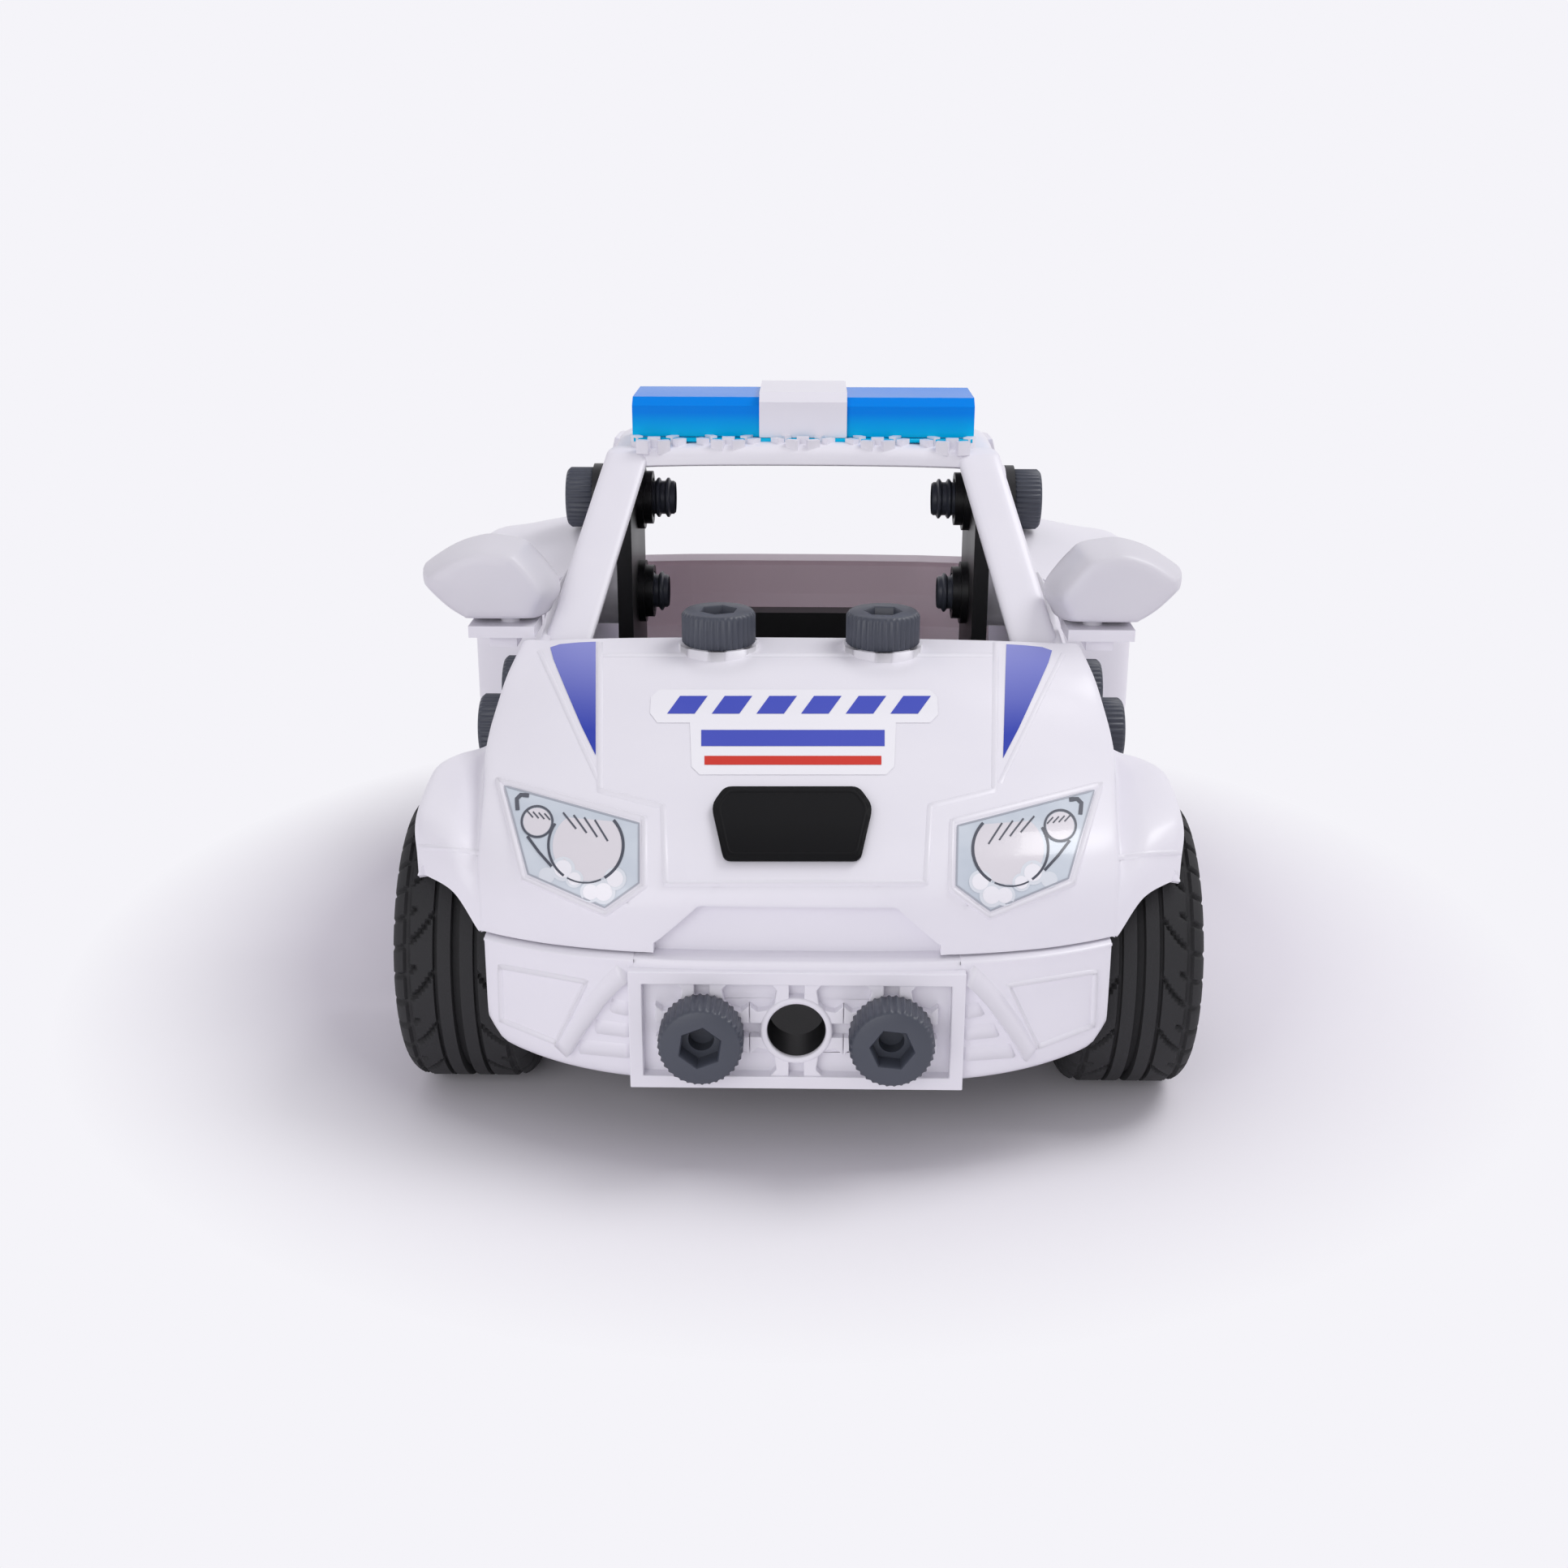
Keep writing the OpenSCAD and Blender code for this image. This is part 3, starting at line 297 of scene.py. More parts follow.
shoulder_turns = [radians(90 * i / SHOULDER_STEPS) for i in range(SHOULDER_STEPS + 1)]
shoulder_in = TYRE_R - SHOULDER_R
tyre_profile = [(RIM_R, 0), (BEAD_R, BEAD_IN), (shoulder_in, 0)]
tyre_profile += [(shoulder_in + SHOULDER_R * sin(b), SHOULDER_R - SHOULDER_R * cos(b))
                 for b in shoulder_turns[1:]]
tyre_profile += [(TYRE_R, z) for z in sorted(
    [SHOULDER_R + (TYRE_W - 2 * SHOULDER_R) * i / TREAD_ROWS for i in range(1, TREAD_ROWS)]
    + [place + side * (width / 2 + wall) for place, width, _ in GROOVES[:3] for side in (-1, 1)
       for wall in (-GROOVE_WALL, GROOVE_WALL)])]
tyre_profile += [(shoulder_in + SHOULDER_R * cos(b), TYRE_W - SHOULDER_R + SHOULDER_R * sin(b))
                 for b in shoulder_turns]
tyre_profile += [(BEAD_R, TYRE_W - BEAD_IN), (RIM_R, TYRE_W), (RIM_R, 0)]
for end, x, y in (("front", FRONT_WHEEL_X, FRONT_AXLE_Y), ("rear", REAR_WHEEL_X, REAR_AXLE_Y)):
    left_form = stood(turned(tyre_profile, TREAD_STEPS, tread), (x, y, AXLE_Z), (1, 0, 0))
    for corner, form in ((end + "_left", left_form), (end + "_right", mirrored(left_form))):
        tyre = new_object("rubber_tyre_" + corner, *form, rubber)
        crisp_edges(tyre, 40)
        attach(tyre, "wheel_" + corner)
        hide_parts("tyre_" + corner)

# Bonnet: one white ABS moulding with both front wheel arches, bowed at the nose, with a flat shelf
# for the cowl bolts. The gloss is that of a polished mould, and the white leans to lavender in shade.
white_abs = moulded("moulded_white_abs", "#ebe9f1", "#f2f0f6", 0.34, 0.8, 0.12)
PLATE_Y = -118.7
BOW_HALF, BOW_POWER, FRONT_BOW = 61, 3.35, 10.5
# Each station's place behind the plate, bow and half width; its heights at the middle, the hood's
# edge, and the arch's root, crown and lip; and the arch's half width.
BONNET_STATIONS = [
    (3, 10, 60.8, 44.6, 44.6, 44.6, 52.6, 51.6, 75.5), (3.5, 10.5, 61, 53.5, 52, 50.8, 57.2, 55, 76),
    (6, 10.5, 61.5, 58.8, 57.5, 56, 61.2, 58.5, 76.9), (13, 9.5, 62, 64.3, 62.5, 60, 63.6, 60.8, 77.2),
    (28, 8, 63.5, 70.3, 67.5, 63.6, 65.4, 62.4, 77.4), (40, 6, 65, 74.5, 70, 65.3, 66.2, 62.8, 76.9),
    (52, 4, 65.6, 79, 72.5, 66.5, 66, 62, 74.2), (62, 2, 65.3, 83.6, 75.5, 68.5, 65.6, 61, 69.7),
    (72, 0, 64, 85.6, 80.5, 72.5, 66.5, 60, 66.1), (82, 0, 62, 86.3, 85, 76.5, 68, 60, 66)]
HOOD_ACROSS = [(0, 0), (0.28, 0.04), (0.54, 0.17), (0.76, 0.42), (0.91, 0.7), (1, 1)]
ARCH_ACROSS = [(0.06, 0.5), (0.12, 1), (0.45, 0.8), (0.85, 1), (1, 0.4), (1, 1)]
GRILLE_TOP, GRILLE_LOW, GRILLE_DEPTH, GRILLE_BASE = (18.7, 54.2), (27.3, 46.3), 3.4, 43.95
GRILLE_SLANT = Vector((GRILLE_TOP[1] - GRILLE_LOW[1], 0, GRILLE_LOW[0] - GRILLE_TOP[0])).normalized()
NOSE_DEEP, NOSE_TOP, NOSE_HALF, NOSE_LOW = 9, 58, 34, 44.7
SNAP = 0.35  # corners of the mesh this near to a cut move onto it


def bow(x, depth):
    return depth * (abs(x) / BOW_HALF) ** BOW_POWER


def smooth(items, count):
    """The same points with count steps between neighbours, on a smooth curve through all of them."""
    out = []
    for i in range(len(items) - 1):
        a, b, c, d = items[max(0, i - 1)], items[i], items[i + 1], items[min(len(items) - 1, i + 2)]
        for s in range(count):
            t = s / count
            out.append(0.5 * (2 * b + (c - a) * t + (2 * a - 5 * b + 4 * c - d) * t * t
                              + (3 * b - a - 3 * c + d) * t ** 3))
    return out + [items[-1]]


def smooth_grid(rows, along, across):
    """A grid of points refined both ways."""
    columns = [smooth(column, along) for column in zip(*[[Vector(p) for p in row] for row in rows])]
    return [smooth(list(row), across) for row in zip(*columns)]


def grid_form(rows):
    n = len(rows[0])
    return [p for row in rows for p in row], [
        (j * n + i, j * n + i + 1, (j + 1) * n + i + 1, (j + 1) * n + i)
        for j in range(len(rows) - 1) for i in range(n - 1)]


def panel(name, form, nodes=(), thick=2.2):
    """A white panel: the outer face made solid inwards, with rounded edges."""
    made = new_object(name, *form, white_abs)
    wall = made.modifiers.new("wall", "SOLIDIFY")
    wall.thickness = thick * MM
    wall.offset = -1
    mould_edge(made, 0.4, 50)
    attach(made, "car")
    if nodes:
        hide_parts(*nodes)


def taken(bm):
    """The points and faces of a finished bmesh."""
    bm.verts.index_update()
    form = [v.co.copy() for v in bm.verts], [tuple(v.index for v in f.verts) for f in bm.faces]
    bm.free()
    return form


def with_grille(form):
    """The grille: a trapezoid with crisp edges, cut out of the nose and set back."""
    bm = bmesh.new()
    corners = [bm.verts.new(p) for p in form[0]]
    for face in form[1]:
        bm.faces.new([corners[i] for i in face])
    planes = [((0, 0, GRILLE_TOP[1]), Vector((0, 0, 1)))]
    for s in (-1, 1):
        slant = Vector((s * GRILLE_SLANT.x, 0, GRILLE_SLANT.z))
        planes += [((s * GRILLE_TOP[0], 0, GRILLE_TOP[1]), slant),
                   ((s * GRILLE_LOW[0], 0, 0), Vector((s, 0, 0)))]

    def nose():
        middles = [(f, f.calc_center_median()) for f in bm.faces]
        return [f for f, m in middles
                if m.y < PLATE_Y + NOSE_DEEP and m.z < NOSE_TOP and abs(m.x) < NOSE_HALF]

    for at, across in planes:
        for v in dict.fromkeys(v for f in nose() for v in f.verts):
            off = (v.co - Vector(at)).dot(across)
            if abs(off) < SNAP:
                v.co -= off * across
        near = nose()
        geom = near + list(dict.fromkeys(e for f in near for e in f.edges))
        geom += list(dict.fromkeys(v for f in near for v in f.verts))
        bmesh.ops.bisect_plane(bm, geom=geom, plane_co=at, plane_no=across, dist=0.05)
    inside = [f for f in nose()
              if all((f.calc_center_median() - Vector(at)).dot(across) < 0 for at, across in planes)]
    for v in bmesh.ops.extrude_face_region(bm, geom=inside)["geom"]:
        if isinstance(v, bmesh.types.BMVert):
            v.co += Vector((0, GRILLE_DEPTH, GRILLE_BASE - v.co.z if v.co.z < NOSE_LOW else 0))
    bmesh.ops.delete(bm, geom=[f for f in inside if f.is_valid], context="FACES_ONLY")
    underneath = [f for f in bm.faces if all(v.co.z < NOSE_LOW for v in f.verts)]
    bmesh.ops.delete(bm, geom=underneath, context="FACES")
    return taken(bm)


bonnet_rows = []
for y, bow_depth, w, mid, edge, root, crown, lip, arch in BONNET_STATIONS:
    half = [(h * w, mid + (edge - mid) * d) for h, d in HOOD_ACROSS]
    spans = [(edge, root)] * 2 + [(root, crown)] * 2 + [(crown, lip)] * 2
    half += [(w + share * (arch - w), low + (high - low) * d)
             for (share, d), (low, high) in zip(ARCH_ACROSS, spans)]
    half = [(x, y + PLATE_Y + bow(x, bow_depth), z) for x, z in half]
    bonnet_rows.append([(-x, py, z) for x, py, z in half[:0:-1]] + half)
bonnet_form = with_grille(grid_form(smooth_grid(bonnet_rows, 10, 16)))
panel("bonnet_shell", bonnet_form, ["bonnet"])

# Raised ribs of the bonnet: a fine line round its middle that frames the stickers, and a crease over
# each arch. They are part of the same moulding.
bonnet_hit = BVHTree.FromPolygons([Vector(p) for p in bonnet_form[0]], bonnet_form[1])
CAR_FAR, LINE_STEP = 470, 5


def on_surface(u, v, lift, target):
    """The point of a panel that the photograph's pixel (u, v) shows, lifted off its face."""
    across, up = (u - PHOTO_MID[0]) / PHOTO_FOCAL, (PHOTO_MID[1] - v) / PHOTO_FOCAL
    ray = camera_turn @ Vector((across, up, -1)).normalized()
    spot, normal, _, _ = target.ray_cast(CAMERA_AT / MM, ray)
    if spot is None:
        spot, normal, _, _ = target.find_nearest(CAMERA_AT / MM + ray * CAR_FAR)
    return spot + lift * (normal if normal.dot(ray) < 0 else -normal)


def line_form(path, width, lift, target=bonnet_hit, closed=False, rise=0.0, lean=0.0):
    """A drawn line or a raised ridge along a path of pixels.

    rise lifts its crest, and lean moves the crest sideways.
    """
    pts = [Vector(p) for p in path]
    dense = []
    for a, b in zip(pts, pts[1:] + (pts[:1] if closed else [])):
        n = max(1, int((b - a).length / LINE_STEP))
        dense += [a.lerp(b, i / n) for i in range(n)]
    if not closed:
        dense.append(pts[-1])
    points, faces = [], []
    for i, p in enumerate(dense):
        before = dense[i - 1] if i or closed else p
        after = dense[(i + 1) % len(dense)] if i + 1 < len(dense) or closed else p
        along = (after - before).normalized()
        side = Vector((-along.y, along.x)) * width / 2
        peak = rise if closed or 0 < i < len(dense) - 1 else 0
        for k, up in ((-1, 0), (lean, peak), (1, 0)):
            q = p + side * k
            points.append(on_surface(q.x, q.y, lift + up, target))
    count = len(dense)
    for i in range(count if closed else count - 1):
        for k in (0, 1):
            a, b = 3 * i + k, 3 * ((i + 1) % count) + k
            faces.append((a, a + 1, b + 1, b))
    return points, faces


def joined(forms):
    points, faces = [], []
    for form_points, form_faces in forms:
        start = len(points)
        points += form_points
        faces += [tuple(i + start for i in f) for f in form_faces]
    return points, faces


def both(form):
    return [form, mirrored(form)]


def laid_on(name, forms, material=white_abs, soft=True):
    made = new_object(name, *joined(forms), material, soft)
    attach(made, "car")
    return made


panel_line = [(739, 790), (739, 973), (817, 993), (820, 1088), (1141, 1087), (1146, 992), (1225, 973),
              (1227, 790)]
laid_on("bonnet_rib", [line_form(panel_line, 8, 0, rise=0.55)])
arch_crease = line_form([(514, 1042), (552, 1044), (592, 1050)], 7, 0, rise=0.45)
laid_on("arch_creases", both(arch_crease))

# Stickers on the bonnet: a white die-cut vinyl with plain slanted bars, a stripe and a red line, laid by
# hand in the middle panel, and blue vinyl at the foot of each windscreen post. Vinyl is smooth and satin.
vinyl_white = moulded("cut_white_vinyl", "#f4f3f9", "#f8f7fb", 0.22, 3, 0.05, coat=0.3)
vinyl_blue = moulded("cut_blue_vinyl", "#4350bb", "#4e5ac4", 0.42, 3, 0.05, glint=0.2)
vinyl_red = moulded("cut_red_vinyl", "#cf3427", "#d93d30", 0.42, 3, 0.05, glint=0.2)
VINYL_LIFT, PRINT_LIFT = 0.1, 0.16
BARS, BAR_STEP, BAR = 6, 55, [(822, 879), (838, 857), (872, 857), (856, 879)]


def draped(outline, lift, step=6, rounds=8):
    """A thin sheet laid on the bonnet: its outline in the photograph's pixels, filled and projected."""
    bm = bmesh.new()
    bm.faces.new([bm.verts.new((u, v, 0)) for u, v in outline])
    bmesh.ops.triangulate(bm, faces=bm.faces[:])
    for _ in range(rounds):
        long_edges = [e for e in bm.edges if e.calc_length() > 2 * step]
        if not long_edges:
            break
        bmesh.ops.subdivide_edges(bm, edges=long_edges, cuts=1)
        bmesh.ops.triangulate(bm, faces=[f for f in bm.faces if len(f.verts) > 3])
    flat, faces = taken(bm)
    return [on_surface(p.x, p.y, lift, bonnet_hit) for p in flat], faces


backing_top = [(812, 849), (1146, 849), (1155, 858), (1156, 880), (1146, 890), (810, 890), (801, 878),
               (802, 858)]
backing_low = [(850, 889), (1104, 889), (1102, 944), (1092, 954), (862, 954), (852, 944)]
laid_on("sticker_backing", [draped(b, VINYL_LIFT) for b in (backing_top, backing_low)], vinyl_white)
bars = [[(u + BAR_STEP * i, v) for u, v in BAR] for i in range(BARS)]
laid_on("sticker_bars", [draped(b, PRINT_LIFT) for b in bars], vinyl_blue)
stripe = [(864, 899), (1090, 899), (1090, 919), (864, 919)]
laid_on("sticker_stripe", [draped(stripe, PRINT_LIFT)], vinyl_blue)
red_line = [(868, 931), (1086, 931), (1086, 942), (868, 942)]
laid_on("sticker_line", [draped(red_line, PRINT_LIFT)], vinyl_red)

# Printed fade: pale blue by the post, deep blue at the point.
FADE_LOW, FADE_HIGH = 75, 86
vinyl_fade = new_material("printed_fade_vinyl")
fade_where = add_node(vinyl_fade, "TexCoord")
fade_parts = add_node(vinyl_fade, "SeparateXYZ", {}, [("Vector", fade_where, "Object")])
fade_height = add_node(
    vinyl_fade, "MapRange", {"From Min": FADE_LOW * MM, "From Max": FADE_HIGH * MM},
    [("Value", fade_parts, "Z")])
fade_tone = add_node(
    vinyl_fade, "Mix", {"data_type": "RGBA", MIX_LOW: linear("#2b3fb0"), MIX_HIGH: linear("#9196da")},
    [("Factor", fade_height, "Result")])
fade_face = add_node(
    vinyl_fade, "BsdfPrincipled", {"Roughness": 0.42, "Specular IOR Level": 0.2},
    [("Base Color", fade_tone, MIX_OUT)])
add_node(vinyl_fade, "OutputMaterial", {}, [("Surface", fade_face, "BSDF")])
post_foot = [(678, 797), (690, 793), (712, 791), (734, 790), (734, 930), (716, 893), (696, 846), (682, 812)]
laid_on("post_foot_stickers", both(draped(post_foot, VINYL_LIFT)), vinyl_fade)
post_crease = line_form([(664, 800), (676, 826), (690, 856), (712, 905), (737, 960)], 6, 0.02, rise=0.35)
laid_on("post_creases", both(post_crease))

# Badge: a bare hexagonal plate of matt black ABS, glued on the nose, with a fine raised rim.
# The matt face throws back little light, so it is the darkest patch of the car.
black_matt = moulded("etched_matt_black_abs", "#0e0e10", "#141416", 0.6, 0.5, 0.2, glint=0.12)
BADGE_LIFT, BADGE_THICK, RIM_LIFT = 0.9, 0.8, 1.3


def rounded(outline, cut):
    """The outline with each corner rounded over cut pixels."""
    out = []
    corners = [Vector(p) for p in outline]
    for i, corner in enumerate(corners):
        start = corner + (corners[i - 1] - corner).normalized() * cut
        end = corner + (corners[(i + 1) % len(corners)] - corner).normalized() * cut
        for t in (0, 0.25, 0.5, 0.75, 1):
            q = start * (1 - t) ** 2 + corner * 2 * t * (1 - t) + end * t * t
            out.append((q.x, q.y))
    return out


badge_outline = [(893, 974), (1058, 974), (1075, 998), (1060, 1062), (892, 1062), (877, 997)]
badge = laid_on("badge_plate", [draped(rounded(badge_outline, 9), BADGE_LIFT)], black_matt)
badge_wall = badge.modifiers.new("plate", "SOLIDIFY")
badge_wall.thickness = BADGE_THICK * MM
badge_wall.offset = 0
badge_rim = [(899, 980), (1053, 980), (1067, 999), (1054, 1056), (898, 1056), (885, 998)]
laid_on("badge_rim", [line_form(rounded(badge_rim, 8), 4, RIM_LIFT, closed=True, rise=0.15)], black_matt)

# Headlamp stickers: printed vinyl on the corners of the nose, a pale lamp glass with soft clouds and
# two drawn rings. The ink lines are a shade proud of the print, and the edge has a thin grey line.
CLOUD_MM = 9
lamp_print = new_material("printed_lamp_vinyl")
lamp_where = add_node(lamp_print, "TexCoord")
lamp_cloud = add_node(
    lamp_print, "TexNoise", {"Scale": 1 / (CLOUD_MM * MM), "Detail": 2}, [("Vector", lamp_where, "Object")])
lamp_tone = add_node(
    lamp_print, "Mix", {"data_type": "RGBA", MIX_LOW: linear("#bac4d1"), MIX_HIGH: linear("#e0e7ee")},
    [("Factor", lamp_cloud, "Fac")])
lamp_face = add_node(
    lamp_print, "BsdfPrincipled", {"Roughness": 0.22, "Coat Weight": 0.3},
    [("Base Color", lamp_tone, MIX_OUT)])
add_node(lamp_print, "OutputMaterial", {}, [("Surface", lamp_face, "BSDF")])
# Printed on the vinyl: dark ink for thin crisp lines, pale ink for the edge, a warm grey for the glass
# and a paler mist in it, all under the same thin gloss.
ink_grey = moulded("printed_grey_ink", "#4a4d58", "#565a66", 0.3, 2, 0.05)
lamp_edge = moulded("printed_pale_ink", "#a3a7b2", "#b2b6c0", 0.3, 2, 0.05)
glass_tint = moulded("printed_glass_vinyl", "#dedae0", "#e8e4e9", 0.24, 3, 0.05, coat=0.3)
lamp_mist = moulded("printed_mist_vinyl", "#dde2ea", "#e8ecf1", 0.24, 3, 0.05, coat=0.3)
GLASS_LIFT, MIST_LIFT, GLINT_LIFT, CLOUD_STEP, INK_LIFT = 0.14, 0.15, 0.18, 0.004, 0.2
GLINT_SHARE = 0.72
BIG_LAMP, SMALL_LAMP = (722, 1041, 46), (662, 1012)
CLOUDS = [(674, 1078, 10), (694, 1070, 15), (708, 1082, 11), (728, 1098, 13), (744, 1098, 15),
          (758, 1082, 14)]


def ring(cu, cv, r, count=40):
    return [(cu + r * cos(2 * pi * i / count), cv + r * sin(2 * pi * i / count))
            for i in range(count)]


def arc(cu, cv, r, start, end, count=30):
    angles = [radians(start + (end - start) * i / count) for i in range(count + 1)]
    return [(cu + r * cos(t), cv + r * sin(t)) for t in angles]


def blots(clouds, share, lift):
    """Round blots on both lamps, each a hair above the one before."""
    return [f for i, (u, v, r) in enumerate(clouds)
            for f in both(draped(ring(u, v, share * r, 24), lift + CLOUD_STEP * i))]


lamp_outline = [(622, 968), (787, 1014), (787, 1087), (745, 1117), (651, 1076)]
lamp_rim = [(614, 960), (794, 1008), (794, 1091), (746, 1125), (645, 1082)]
laid_on("lamp_stickers", both(draped(lamp_outline, VINYL_LIFT)), lamp_print)
laid_on("lamp_rims", both(line_form(lamp_rim, 8, 0, closed=True, rise=0.7)))
laid_on("lamp_glass", both(draped(arc(724, 1042, 43, -45, 235), GLASS_LIFT))
        + both(draped(ring(*SMALL_LAMP, 17), GLASS_LIFT)), glass_tint)
laid_on("lamp_edges", both(line_form(lamp_outline, 2.2, PRINT_LIFT, closed=True)), lamp_edge)
laid_on("lamp_mist", blots(CLOUDS, 1, MIST_LIFT), lamp_mist)
laid_on("lamp_glints", blots(CLOUDS[1:], GLINT_SHARE, GLINT_LIFT), vinyl_white)
lamp_lines = [line_form(arc(*BIG_LAMP, start, end), width, INK_LIFT)
              for start, end, width in ((-42, 60, 3.6), (66, 120, 2), (126, 215, 3))]
lamp_lines += [line_form(ring(*SMALL_LAMP, 19), 2.6, INK_LIFT, closed=True),
               line_form([(638, 998), (637, 984), (642, 979), (652, 980)], 5, INK_LIFT),
               line_form([(650, 1030), (664, 1049), (680, 1067)], 3.4, INK_LIFT)]
lamp_lines += [line_form([(694 + 13 * i, 1001 + 3 * i), (710 + 13 * i, 1021 + 5 * i)], 2.2, INK_LIFT)
               for i in range(4)]
lamp_lines += [line_form([(650 + 7 * i, 999 + i), (657 + 7 * i, 1007 + i)], 1.8, INK_LIFT) for i in range(4)]
laid_on("lamp_lines", [f for form in lamp_lines for f in both(form)], ink_grey)

# Cowl: the shelf behind the bonnet carries two notched bosses, where the knurled bolts sit, and a
# thin rib along its front. It is part of the bonnet's moulding.
BOSS_R, BOSS_EDGE, BOSS_STEPS, BOLT_HOLE_R, NOTCH_HALF, HAIR = 9.1, 0.3, 96, 5.6, 1.85, 0.01
PITCH = 18
COWL_BOLT_Y, COWL_Z, COWL_BOSS_L, COWL_BOSS_R = 76 + PLATE_Y, 79.9, 6.82, 8.8


def notched_boss(length, radius=BOSS_R, notches=4, depth=1.1):
    """A round boss with notches in its rim, the first of them at the front, and the bolt's hole."""
    step = 2 * pi / notches

    def notch(a, k, r, z):
        aside = abs((a + pi / 2 + step / 2) % step - step / 2) * radius
        return r, z - depth if z > length - HAIR and aside < NOTCH_HALF else z
    profile = [(radius, 0), (radius, length - HAIR), (radius - BOSS_EDGE, length),
               (BOLT_HOLE_R + BOSS_EDGE, length), (BOLT_HOLE_R, length - HAIR), (BOLT_HOLE_R, 0)]
    return turned(profile, BOSS_STEPS, notch)


cowl_boss = notched_boss(COWL_BOSS_L, COWL_BOSS_R, notches=6, depth=2)
laid_on("cowl_bosses", [stood(cowl_boss, (x, COWL_BOLT_Y, COWL_Z), (0, 0, 1)) for x in (-PITCH, PITCH)])
laid_on("cowl_ribs", [line_form([(741, 806), (1223, 806)], 5, 0.02, rise=0.4)])

# Doors: white ABS skins that bulge below the sill, each held by two bolts through notched bosses
# against the black rail behind.
DOOR_X, DOOR_BULGE, DOOR_FRONT, DOOR_L, DOOR_TOP, DOOR_H = 62, 7.6, 82.3, 76.4, 84.96, 60.36
DOOR_BOSS_X, DOOR_BOSS_L, DOOR_BOLT_YS, DOOR_BOLT_Z = 61, 9.7, (113, 149), 55.5
DOOR_ACROSS = [(0, 0), (0.28, 0.09), (0.6, 0.22), (0.9, 0.4), (1, 0.56), (0.95, 0.73), (0.7, 0.9), (0.4, 1)]
DOOR_ALONG = [(0, 0.1, 3.2), (0.2, 0.45, 2.6), (0.5, 0.95, 0.8), (0.8, 1, 0), (1, 0.95, 0)]


def panel_pair(name, form, node=None):
    """A panel on the left and its mirror image on the right."""
    for side, half in zip(("_left", "_right"), both(form)):
        panel(name + side, half, [node + side] if node else ())


door_rows = [[(DOOR_X - tuck + out * stand * DOOR_BULGE, DOOR_FRONT + DOOR_L * share + PLATE_Y,
               DOOR_TOP - DOOR_H * drop) for out, drop in DOOR_ACROSS] for share, stand, tuck in DOOR_ALONG]
panel_pair("door_skin", grid_form(smooth_grid(door_rows, 5, 5)), "door")
door_bosses = joined([stood(notched_boss(DOOR_BOSS_L), (DOOR_BOSS_X, y + PLATE_Y, DOOR_BOLT_Z), (1, 0, 0))
                      for y in DOOR_BOLT_YS])
laid_on("door_bosses", both(door_bosses))

# Rear quarters: deep white ABS mouldings that swell out over the rear tyres, each held by one bolt
# to the black upright beside the cabin.
QUARTER_X, QUARTER_OUT, QUARTER_TOP, QUARTER_FRONT, QUARTER_L, QUARTER_FALL = 56.5, 35.5, 92, 159, 85.2, 2.2
REAR_ARCH_R = 32.3
PAD_X, QUARTER_PAD_L, QUARTER_BOLT_Y, QUARTER_BOLT_Z = 49, 10, 181 + PLATE_Y, 74
# Shares along the quarter: place, top, reach and lip.
QUARTER_ALONG = [
    (0, 0.94, 0.34, 0.42), (0.06, 0.948, 0.55, 0.4), (0.16, 0.972, 0.89, 0.4), (0.28, 0.994, 0.98, 0.55),
    (0.44, 1, 1, 0.64), (0.6, 0.99, 1, 0.67), (0.76, 0.962, 0.985, 0.64), (0.9, 0.913, 0.94, 0.54),
    (0.965, 0.88, 0.85, 0.46), (0.99, 0.86, 0.66, 0.44), (1, 0.85, 0.35, 0.44)]
QUARTER_ACROSS = [(0, 10), (0, 1), (0.05, 0), (0.3, 0.8), (0.65, 1.9), (0.9, 2.6), (1, 4.4)]
quarter_rows = []
for share, top, out, lip in QUARTER_ALONG:
    reach, y = out * QUARTER_OUT, QUARTER_FRONT + QUARTER_L * share + PLATE_Y
    row = [(QUARTER_X + a * reach, y, QUARTER_TOP * top - drop * QUARTER_FALL) for a, drop in QUARTER_ACROSS]
    low = row[-1][2]
    arch_z = AXLE_Z + sqrt(max(0, REAR_ARCH_R ** 2 - (y - REAR_AXLE_Y) ** 2))
    lip_z = max(QUARTER_TOP * lip, arch_z)
    row += [(QUARTER_X + reach, y, low + (lip_z - low) * d) for d in (0.35, 0.7, 1)]
    quarter_rows.append(row)
panel_pair("quarter_skin", grid_form(smooth_grid(quarter_rows, 5, 5)), "rear_quarter")


def round_pad(length):
    """A plain round boss with the bolt's hole."""
    return turned([(BOSS_R, 0), (BOSS_R, length - BOSS_EDGE), (BOSS_R - BOSS_EDGE, length),
                   (BOLT_HOLE_R, length), (BOLT_HOLE_R, 0)], BOSS_STEPS)


def block(low, high):
    """A box between two corners."""
    xs, ys, zs = zip(low, high)
    points = [(x, y, z) for x in xs for y in ys for z in zs]
    return points, [(0, 1, 3, 2), (4, 6, 7, 5), (0, 4, 5, 1), (2, 3, 7, 6), (0, 2, 6, 4), (1, 5, 7, 3)]


quarter_pad = stood(round_pad(QUARTER_PAD_L), (PAD_X, QUARTER_BOLT_Y, QUARTER_BOLT_Z), (1, 0, 0))
laid_on("quarter_pads", both(quarter_pad))
quarter_back = block((56.8, 241.8 + PLATE_Y, 40.6), (68.8, 244 + PLATE_Y, 77.8))
laid_on("quarter_backs", both(quarter_back))

